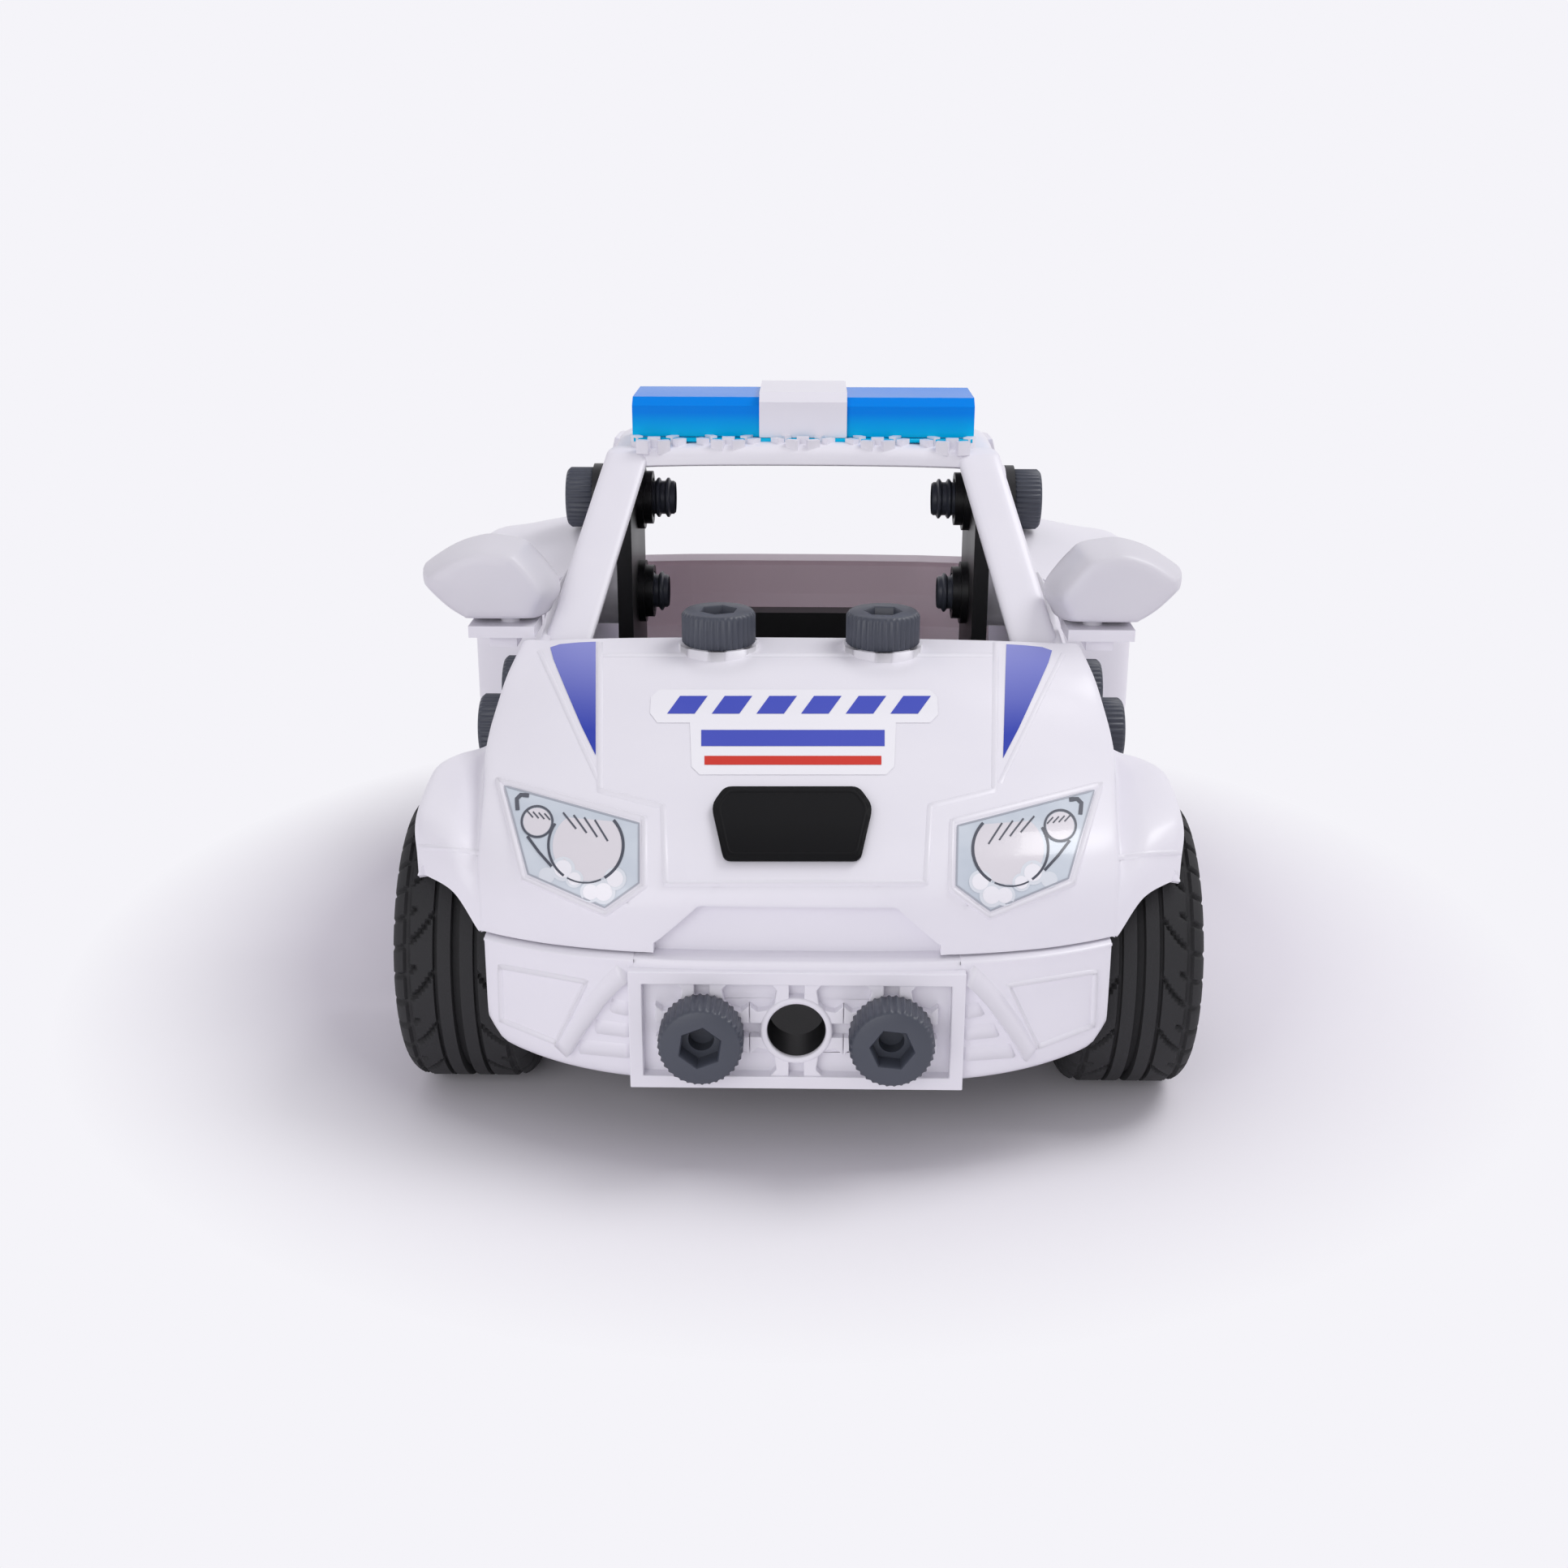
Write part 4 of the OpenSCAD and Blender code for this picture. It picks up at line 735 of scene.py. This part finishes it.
# Tailgate: a bowed wall of white ABS between the quarters, under the rear window.
# Thin white ABS: the light behind the car shines through it, a little warm.
THIN_THROUGH = 0.36
thin_abs = moulded("thin_moulded_white_abs", "#e9e5ec", "#f0edf2", 0.4, 0.8, 0.12)
thin_out = thin_abs.node_tree.nodes["Material Output"]
thin_face = thin_out.inputs["Surface"].links[0].from_node
thin_glow = add_node(thin_abs, "BsdfTranslucent", {"Color": linear("#f8e6ec")})
thin_both = add_node(
    thin_abs, "MixShader", {0: THIN_THROUGH}, [(1, thin_face, "BSDF"), (2, thin_glow, "BSDF")])
thin_abs.node_tree.links.new(thin_both.outputs[0], thin_out.inputs["Surface"])
dress("tailgate", thin_abs, 0.4)

# Bumpers: white ABS. Bowed wings with a fin, slats and an inset panel each side, and a sunk plate with
# three ringed holes in the middle, where the bolts pass through to the tray.
PLATE_HALF, PLATE_LOW, PLATE_TOP, PLATE_DEPTH, PLATE_EDGE, HOLE_Z = 32, 17.75, 42.25, 6, 2.6, 30
HOLE_XS = (-PITCH, 0, PITCH)
WING_XS = [31 + 2.5 * i for i in range(13)]
WING_TOP, WING_BACK, WING_LIFT, CORNER_X, CORNER_LIFT = 43.9, 1.1, 4.84, 57, 3.6
WING_ROWS = ((0, 1.6), (0.1, 0.25), (0.5, 0), (0.9, 0.1), (1, 0.4), (1, 5))
STRIP_XS = [31.5 * k / 8 for k in range(-8, 9)]
STRIP_ROWS = ((0, 41.5), (0.1, 43.2), (0.5, 43.9), (5.5, 44))
TAB_HALF, TAB_REACH, TAB_FRONT, TAB_SINK = 1.45, 8.95, 0.5, 0.2
RING_PROFILE = [(6.9, 0), (6.9, 5.6), (6.6, 5.9), (5.9, 5.9), (5.6, 5.6), (5.6, 0)]
SLEEVE_R, SLEEVE_L, SHEET_THICK = 5.58, 5, 3.3


def wing_row(share, roll):
    row = []
    for x in WING_XS:
        corner = max(0, (x - CORNER_X) / (BOW_HALF - CORNER_X))
        low = PLATE_LOW + WING_LIFT * (x / BOW_HALF) ** 4 + CORNER_LIFT * corner ** 2
        row.append((x, PLATE_Y + WING_BACK * (1 + roll) + bow(x, FRONT_BOW), low + (WING_TOP - low) * share))
    return row


wing = grid_form(smooth_grid([wing_row(*u) for u in WING_ROWS], 6, 2))
wing_hit = BVHTree.FromPolygons([Vector((-p[0], p[1], p[2])) for p in wing[0]], wing[1])


def framed(half_w, low, high, edge, front, back):
    """A rectangular frame seen from the front."""
    points = []
    for inset in (0, edge):
        for y in (front, back):
            points += [(-half_w + inset, y, low + inset), (half_w - inset, y, low + inset),
                       (half_w - inset, y, high - inset), (-half_w + inset, y, high - inset)]
    faces = []
    for i in range(4):
        j = (i + 1) % 4
        faces += [(i, j, 8 + j, 8 + i), (i, 4 + i, 4 + j, j), (8 + i, 8 + j, 12 + j, 12 + i),
                  (4 + i, 12 + i, 12 + j, 4 + j)]
    return points, faces


def holed_sheet(half_w, low, high, y, holes, radius):
    """A flat sheet with round holes, facing the front."""
    bm = bmesh.new()
    loops = [[(-half_w, low), (half_w, low), (half_w, high), (-half_w, high)]]
    loops += [ring(x, z, radius) for x, z in holes]
    edges = []
    for loop in loops:
        corners = [bm.verts.new((x, y, z)) for x, z in loop]
        edges += [bm.edges.new((corners[i], corners[(i + 1) % len(corners)])) for i in range(len(corners))]
    bmesh.ops.triangle_fill(bm, edges=edges, use_beauty=True)
    bmesh.ops.recalc_face_normals(bm, faces=bm.faces[:])
    if sum(f.normal.y for f in bm.faces) > 0:
        bmesh.ops.reverse_faces(bm, faces=bm.faces[:])
    return taken(bm)


def boss_tab(x, turn, reach):
    """One of the four tabs of a boss on the plate: two flared halves with a square notch between them."""
    half = [(TAB_HALF, 6.2), (TAB_HALF, reach), (5.1, reach), (3.8, reach - 1.5), (4.3, 5.2)]
    spin = Matrix.Rotation(radians(turn), 2)
    n = len(half)
    halves = []
    for s in (-1, 1):
        flat = [spin @ Vector((s * t, r)) for t, r in half]
        points = [(x + q.x, y, HOLE_Z + q.y)
                  for y in (PLATE_Y + TAB_FRONT, PLATE_Y + PLATE_EDGE + TAB_SINK) for q in flat]
        faces = [tuple(range(n)), tuple(range(2 * n - 1, n - 1, -1))]
        faces += [(i, n + i, n + (i + 1) % n, (i + 1) % n) for i in range(n)]
        halves.append((points, faces if s < 0 else [face[::-1] for face in faces]))
    return joined(halves)


def at_holes(profile, steps):
    """A turned form at each hole of the plate, facing the front."""
    return [stood(turned(profile, steps), (x, PLATE_Y + PLATE_DEPTH, HOLE_Z), (0, -1, 0)) for x in HOLE_XS]


ring_forms = at_holes(RING_PROFILE, 64)
ring_forms += [boss_tab(x, turn, reach) for x in HOLE_XS
               for turn, reach in ((0, PLATE_TOP - PLATE_EDGE - HOLE_Z + TAB_SINK), (90, TAB_REACH),
                                   (180, HOLE_Z - PLATE_LOW - PLATE_EDGE + TAB_SINK), (270, TAB_REACH))]
ring_forms += both(block((31.6, PLATE_Y + 3.2, 34), (35, PLATE_Y + 5.4, 43.2)))
ring_forms.append(framed(PLATE_HALF, PLATE_LOW, PLATE_TOP, PLATE_EDGE, PLATE_Y, PLATE_Y + PLATE_DEPTH))
plate_sheet = holed_sheet(PLATE_HALF - 1, PLATE_LOW + 1, PLATE_TOP - 1, PLATE_Y + PLATE_EDGE,
                          [(x, HOLE_Z) for x in HOLE_XS], BOLT_HOLE_R)
top_strip = grid_form([[(x, PLATE_Y + WING_BACK + bow(x, FRONT_BOW) + back, z) for x in STRIP_XS]
                       for back, z in STRIP_ROWS])
fin = [(772, 1193), (758, 1205), (740, 1224), (722, 1248), (706, 1271), (692, 1294)]
inset = [(722, 1209), (616, 1190), (618, 1256), (686, 1284)]
trim_forms = [line_form(fin, 26, -0.2, wing_hit, rise=2.6, lean=-0.8),
              line_form(inset, 7, 0, wing_hit, closed=True, rise=0.8)]
trim_forms += [line_form([(u, v), (779, v + 6)], 17, -0.1, wing_hit, rise=1.3, lean=0.75)
               for u, v in ((752, 1236), (733, 1262), (713, 1287))]


def to_rear(form):
    return [Vector((-p[0], -p[1], p[2])) for p in form[0]], form[1]


for end, move in (("front", lambda form: form), ("rear", to_rear)):
    panel(end + "_bumper_skin", move(joined(both(wing) + [top_strip])), [end + "_bumper"], thick=2)
    panel(end + "_bumper_sheet", move(plate_sheet), thick=SHEET_THICK)
    plate = laid_on(end + "_bumper_plate", [move(f) for f in ring_forms], soft=False)
    mould_edge(plate, 0.25, 40)
    laid_on(end + "_hole_sleeves", [move(f) for f in at_holes([(SLEEVE_R, 0), (SLEEVE_R, SLEEVE_L)], 48)],
            black_abs)
    laid_on(end + "_bumper_trim", [move(g) for f in trim_forms for g in both(f)])

# Roof: a crowned white ABS panel with rounded windscreen posts and flat rear posts, in one moulding.
# The posts carry the washers and bolts that hold it to the black uprights.
ROOF_HALF, ROOF_FRONT, ROOF_L, ROOF_TOP, ROOF_BOW = 50, 125, 72, 123, 0.6
ROOF_PAD_L, ROOF_BOLT_Y, ROOF_BOLT_Z = 5.6, 183 + PLATE_Y, 99.6
# Shares along the roof: place, rise, half width and the fall to its edge.
ROOF_ALONG = [
    (0, -0.042, 0.9, 0.012), (0.02, -0.014, 0.94, 0.02), (0.1, -0.003, 0.96, 0.03), (0.42, 0, 0.98, 0.036),
    (0.74, -0.008, 1, 0.038), (0.93, -0.028, 1, 0.034), (1, -0.057, 0.98, 0.03)]
ROOF_ACROSS = [(0, 0), (0.4, 0.06), (0.7, 0.25), (0.88, 0.55), (0.97, 1), (1, 2)]
POST_DOME = [(0.95, 0.3, 0.4), (0.86, 0.6, 1), (0.66, 0.9, 1.9), (0.35, 1.1, 2.6)]
POST_LOW = ((53.95, 85.6 + PLATE_Y, 79.9), 5.45, 3.3)
POST_HIGH = ((42.2, 130.5 + PLATE_Y, 119.9), 5.2, 3.3)
roof_rows = []
for share, rise, w, drop in ROOF_ALONG:
    half = [(a * w * ROOF_HALF, ROOF_FRONT + share * ROOF_L
             + ROOF_BOW * bow(a * w * ROOF_HALF, FRONT_BOW) * (1 - share) + PLATE_Y,
             ROOF_TOP * (1 + rise - d * drop)) for a, d in ROOF_ACROSS]
    roof_rows.append([(-x, y, z) for x, y, z in half[:0:-1]] + half)
panel("roof_shell", grid_form(smooth_grid(roof_rows, 5, 5)), ["cabin_roof"])


def rounded_bar(low_end, high_end, steps=12, power=5, count=32):
    """A bar with a rounded section between two (middle, half width, half depth) ends.

    Its top leans back in a dome.
    """
    points = []
    sections = [(j / steps, 1, 0, 0) for j in range(steps + 1)] + [(1, *cap) for cap in POST_DOME]
    for t, share, up, back in sections:
        mid = Vector(low_end[0]).lerp(Vector(high_end[0]), t) + Vector((0, back, up))
        wide, deep = ((low_end[k] + (high_end[k] - low_end[k]) * t) * share for k in (1, 2))
        for i in range(count):
            a = 2 * pi * i / count
            ca, sa = cos(a), sin(a)
            size = (abs(ca) ** power + abs(sa) ** power) ** (-1 / power)
            points.append(mid + Vector((wide * size * ca, deep * size * sa, 0)))
    last = len(points) - count
    ends = [tuple(range(count - 1, -1, -1)), tuple(range(last, last + count))]
    return points, tube_faces(len(sections), count) + ends


laid_on("windscreen_posts", both(rounded_bar(POST_LOW, POST_HIGH)))
rear_post = grid_form(smooth_grid([
    [(56.2, y + PLATE_Y, 91.6) for y in (175.6, 189.6, 203.6)],
    [(49.4, y + PLATE_Y, z) for y, z in ((166.8, 118.3), (180.8, 117.8), (194.8, 116.1))]], 10, 8))
panel_pair("rear_post", rear_post)
roof_pad = stood(round_pad(ROOF_PAD_L), (PAD_X, ROOF_BOLT_Y, ROOF_BOLT_Z), (1, 0, 0))
laid_on("roof_pads", both(roof_pad))

# Light bar: a hollow blue lens of clear tinted plastic, clipped on a white base, with a white strap over
# its middle. Light that comes through the tint makes the lens paler towards its foot.
LENS_HALF, LENS_FOOT, LENS_UP, LENS_DRIFT_MM, LENS_THROUGH = 41, 123.5, 129, 20, 0.12
TEETH_Y, TOOTH_HALF, TOOTH_DEEP, TOOTH_BASE, TOOTH_FALL = 135 + PLATE_Y, 1.5, 0.9, 120, 0.12
blue_lens = new_material("clear_blue_plastic")
lens_where = add_node(blue_lens, "TexCoord")
lens_drift = add_node(
    blue_lens, "TexNoise", {"Scale": 1 / (LENS_DRIFT_MM * MM), "Detail": 2},
    [("Vector", lens_where, "Object")])
lens_gloss = add_node(blue_lens, "MapRange", {"To Min": 0.16, "To Max": 0.26}, [("Value", lens_drift, "Fac")])
lens_parts = add_node(blue_lens, "SeparateXYZ", {}, [("Vector", lens_where, "Object")])
lens_height = add_node(
    blue_lens, "MapRange", {"From Min": LENS_FOOT * MM, "From Max": LENS_UP * MM},
    [("Value", lens_parts, "Z")])
lens_tone = add_node(
    blue_lens, "Mix", {"data_type": "RGBA", MIX_LOW: linear("#00d0ff"), MIX_HIGH: linear("#0094ff")},
    [("Factor", lens_height, "Result")])
lens_face = add_node(
    blue_lens, "BsdfPrincipled", {"IOR": PLASTIC_IOR, "Transmission Weight": 0.1, "Specular IOR Level": 0.06},
    [("Base Color", lens_tone, MIX_OUT), ("Roughness", lens_gloss, "Result")])
lens_glow = add_node(blue_lens, "BsdfTranslucent", {}, [("Color", lens_tone, MIX_OUT)])
lens_both = add_node(
    blue_lens, "MixShader", {0: LENS_THROUGH}, [(1, lens_face, "BSDF"), (2, lens_glow, "BSDF")])
add_node(blue_lens, "OutputMaterial", {}, [("Surface", lens_both, "Shader")])
dress("lightbar_lens", blue_lens, 0.9)
dress("lightbar_strap", white_abs, 0.4)
dress("lightbar_base", white_abs, 0.3)
lens_lip = block((-LENS_HALF, 131 + PLATE_Y, 122.4), (LENS_HALF, 133.7 + PLATE_Y, 123.2))
laid_on("lightbar_lip", [lens_lip], blue_lens)
# Below the bar's front the roof has a row of notched bosses; their teeth stand clear of the lens.
# Each boss has two rings of teeth, with a reach, turns and a top.
TOOTH_RINGS = ((7.8, (-52, -18, 18, 52), 123.5), (5, (-60, 0, 60), 123.9))
roof_teeth = []
for x in (-2 * PITCH, -PITCH, 0, PITCH, 2 * PITCH):
    for reach, turns, top in TOOTH_RINGS:
        for turn in turns:
            tooth = block((-TOOTH_HALF, -TOOTH_DEEP, TOOTH_BASE),
                          (TOOTH_HALF, TOOTH_DEEP, top - TOOTH_FALL * abs(x) / PITCH))
            spin = spun(turn)
            middle = Vector((x, TEETH_Y, 0)) + spin @ Vector((0, -reach, 0))
            if abs(middle.x) < LENS_HALF:
                roof_teeth.append(([spin @ Vector(q) + middle for q in tooth[0]], tooth[1]))
laid_on("roof_teeth", roof_teeth, soft=False)

# Mirrors: white ABS heads, painted a pale grey for the shade that falls on them, that swell towards the
# front, each on a vertical pin of a two-step white arm plate that is bolted to the door sill from inside.
MIRROR_X, MIRROR_W, MIRROR_FRONT, MIRROR_L, MIRROR_Z, MIRROR_H = 55, 31, 83, 14, 88.3, 18.3
MIRROR_MID, MIRROR_STEPS = (0.52, 0.45), 4
MIRROR_OUTLINE = [
    (0.006, 0.31), (0.02, 0.46), (0.1, 0.66), (0.186, 0.83), (0.26, 0.935), (0.4, 0.985), (0.545, 1),
    (0.76, 0.89), (0.97, 0.667), (1, 0.58), (1, 0.5), (0.975, 0.42), (0.84, 0.19), (0.7, 0.03),
    (0.63, 0), (0.26, 0), (0.11, 0.02), (0.058, 0.14)]
# Shares of the depth, from the front, and of the outline there.
MIRROR_DEPTH = [
    (0, 0.02), (0, 0.55), (0.02, 0.72), (0.05, 0.79), (0.1, 0.83), (0.3, 0.91), (0.6, 0.975), (0.85, 1),
    (0.97, 0.985), (1, 0.95), (1, 0.9), (0.94, 0.88), (0.94, 0.02)]
# Painted shade: the heads' white ABS is painted a shade darker than the panels beside it, with the same soft
# gloss.
mirror_painted_shade_abs = moulded("moulded_white_abs_painted_shade", "#d9d7de", "#e1dfe5", 0.38, 0.8, 0.12)
count = MIRROR_STEPS * len(MIRROR_OUTLINE)
outline = smooth([Vector(p) for p in MIRROR_OUTLINE * 3], MIRROR_STEPS)[count:2 * count]
mirror_points = []
for depth, share in MIRROR_DEPTH:
    mirror_points += [(MIRROR_X + MIRROR_W * (MIRROR_MID[0] + (p.x - MIRROR_MID[0]) * share),
                       MIRROR_FRONT + MIRROR_L * depth + PLATE_Y,
                       MIRROR_Z + MIRROR_H * (MIRROR_MID[1] + (p.y - MIRROR_MID[1]) * share))
                      for p in outline]
last = len(mirror_points) - count
mirror_faces = [(a, d, c, b) for a, b, c, d in tube_faces(len(MIRROR_DEPTH), count)]
mirror_faces += [tuple(range(count)), tuple(range(last + count - 1, last - 1, -1))]
for side, form in zip(("left", "right"), both((mirror_points, mirror_faces))):
    head = new_object("mirror_head_" + side, *form, mirror_painted_shade_abs)
    crisp_edges(head, 55)
    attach(head, "mirror_" + side)
    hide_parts("mirror_" + side)
    dress("mirror_arm_" + side, white_abs, 0.3)

# Bolts: dark grey ABS with a ribbed head, a hexagon socket and a ridged thread, turned by a plastic key.
# The ribs catch a row of small highlights round each head.
bolt_abs = moulded("moulded_grey_bolt_abs", "#414550", "#4c505b", 0.4, 0.5, 0.25)
HEAD_R, HEAD_L, RIBS, RIB_DEPTH = 8.1, 7.3, 36, 0.42
SHANK_R, ROOT_R, RIDGE_R, RIDGES, RIDGE_STEP, TIP_L = 5, 4.5, 5.35, 5, 2.6, 1.2
SOCKET_R, SOCKET_L, CORE_R, CORE_L = 4.1, 4, 2.45, 7
WASHER_L, HUB_OUT, BOLT_STEPS, BOLT_TURNS = 2.3, 17.72, 216, (22, -6, 13, -17)


def knurled_bolt(shank):
    """Head on z = 0 and shank below."""
    def shape(a, k, r, z):
        if k in ribbed:
            return r - RIB_DEPTH * (0.5 - 0.5 * cos(RIBS * a)), z
        if k in sixsided:
            corner = (a % (pi / 3)) - pi / 6
            return r * cos(pi / 6) / cos(corner), z
        return r, z
    profile = [(SOCKET_R, -shank), (ROOT_R, -shank + 0.5)]
    for i in range(RIDGES):
        z = -shank + TIP_L + RIDGE_STEP * i
        profile += [(ROOT_R, z), (RIDGE_R, z + 0.5), (RIDGE_R, z + 1), (ROOT_R, z + 1.6)]
    profile += [(SHANK_R, -0.4), (SHANK_R, 0), (HEAD_R - 0.5, 0), (HEAD_R, 0.4), (HEAD_R, HEAD_L - 0.9),
                (HEAD_R - 0.6, HEAD_L - 0.2)]
    ribbed = {len(profile) - 3, len(profile) - 2}
    profile += [(HEAD_R - 0.9, HEAD_L), (SOCKET_R + 0.3, HEAD_L), (SOCKET_R, HEAD_L - 0.3),
                (SOCKET_R, HEAD_L - SOCKET_L), (CORE_R, HEAD_L - SOCKET_L), (CORE_R, HEAD_L - CORE_L),
                (0.01, HEAD_L - CORE_L)]
    sixsided = {len(profile) - 6, len(profile) - 5, len(profile) - 4}
    return turned(profile, BOLT_STEPS, shape)


def side_pair(x, y, z):
    """A bolt on each side of the car, heads out."""
    return [((s * x, y, z), (s, 0, 0)) for s in (-1, 1)]


BOLT_SETS = {  # each set's shank, and the place and direction of each head
    "cowl_bolts": (20, [((x, COWL_BOLT_Y, COWL_Z + COWL_BOSS_L), (0, 0, 1)) for x in (-PITCH, PITCH)]),
    "bumper_bolts": (20, [((x, -s * PLATE_Y, HOLE_Z), (0, s, 0)) for s in (-1, 1) for x in (-PITCH, PITCH)]),
    "roof_bolts": (22, side_pair(PAD_X + ROOF_PAD_L + WASHER_L, ROOF_BOLT_Y, ROOF_BOLT_Z)),
    "quarter_bolts": (22, side_pair(PAD_X + QUARTER_PAD_L, QUARTER_BOLT_Y, QUARTER_BOLT_Z)),
    "door_bolts": (22, [((s * (DOOR_BOSS_X + DOOR_BOSS_L), y + PLATE_Y, DOOR_BOLT_Z), (s, 0, 0))
                        for s in (-1, 1) for y in DOOR_BOLT_YS]),
    "front_wheel_bolts": (32.52, side_pair(FRONT_WHEEL_X + HUB_OUT, FRONT_AXLE_Y, AXLE_Z)),
    "rear_wheel_bolts": (41.52, side_pair(REAR_WHEEL_X + HUB_OUT, REAR_AXLE_Y, AXLE_Z)),
}
for node, (shank, places) in BOLT_SETS.items():
    points, faces = knurled_bolt(shank)
    spins = [spun(turn) for turn in BOLT_TURNS]
    bolts = new_object("ribbed_" + node, *joined([
        stood(([spin @ Vector(p) for p in points], faces), place, axis)
        for spin, (place, axis) in zip(spins, places)]), bolt_abs)
    crisp_edges(bolts, 42)
    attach(bolts, "car")
    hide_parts(node)
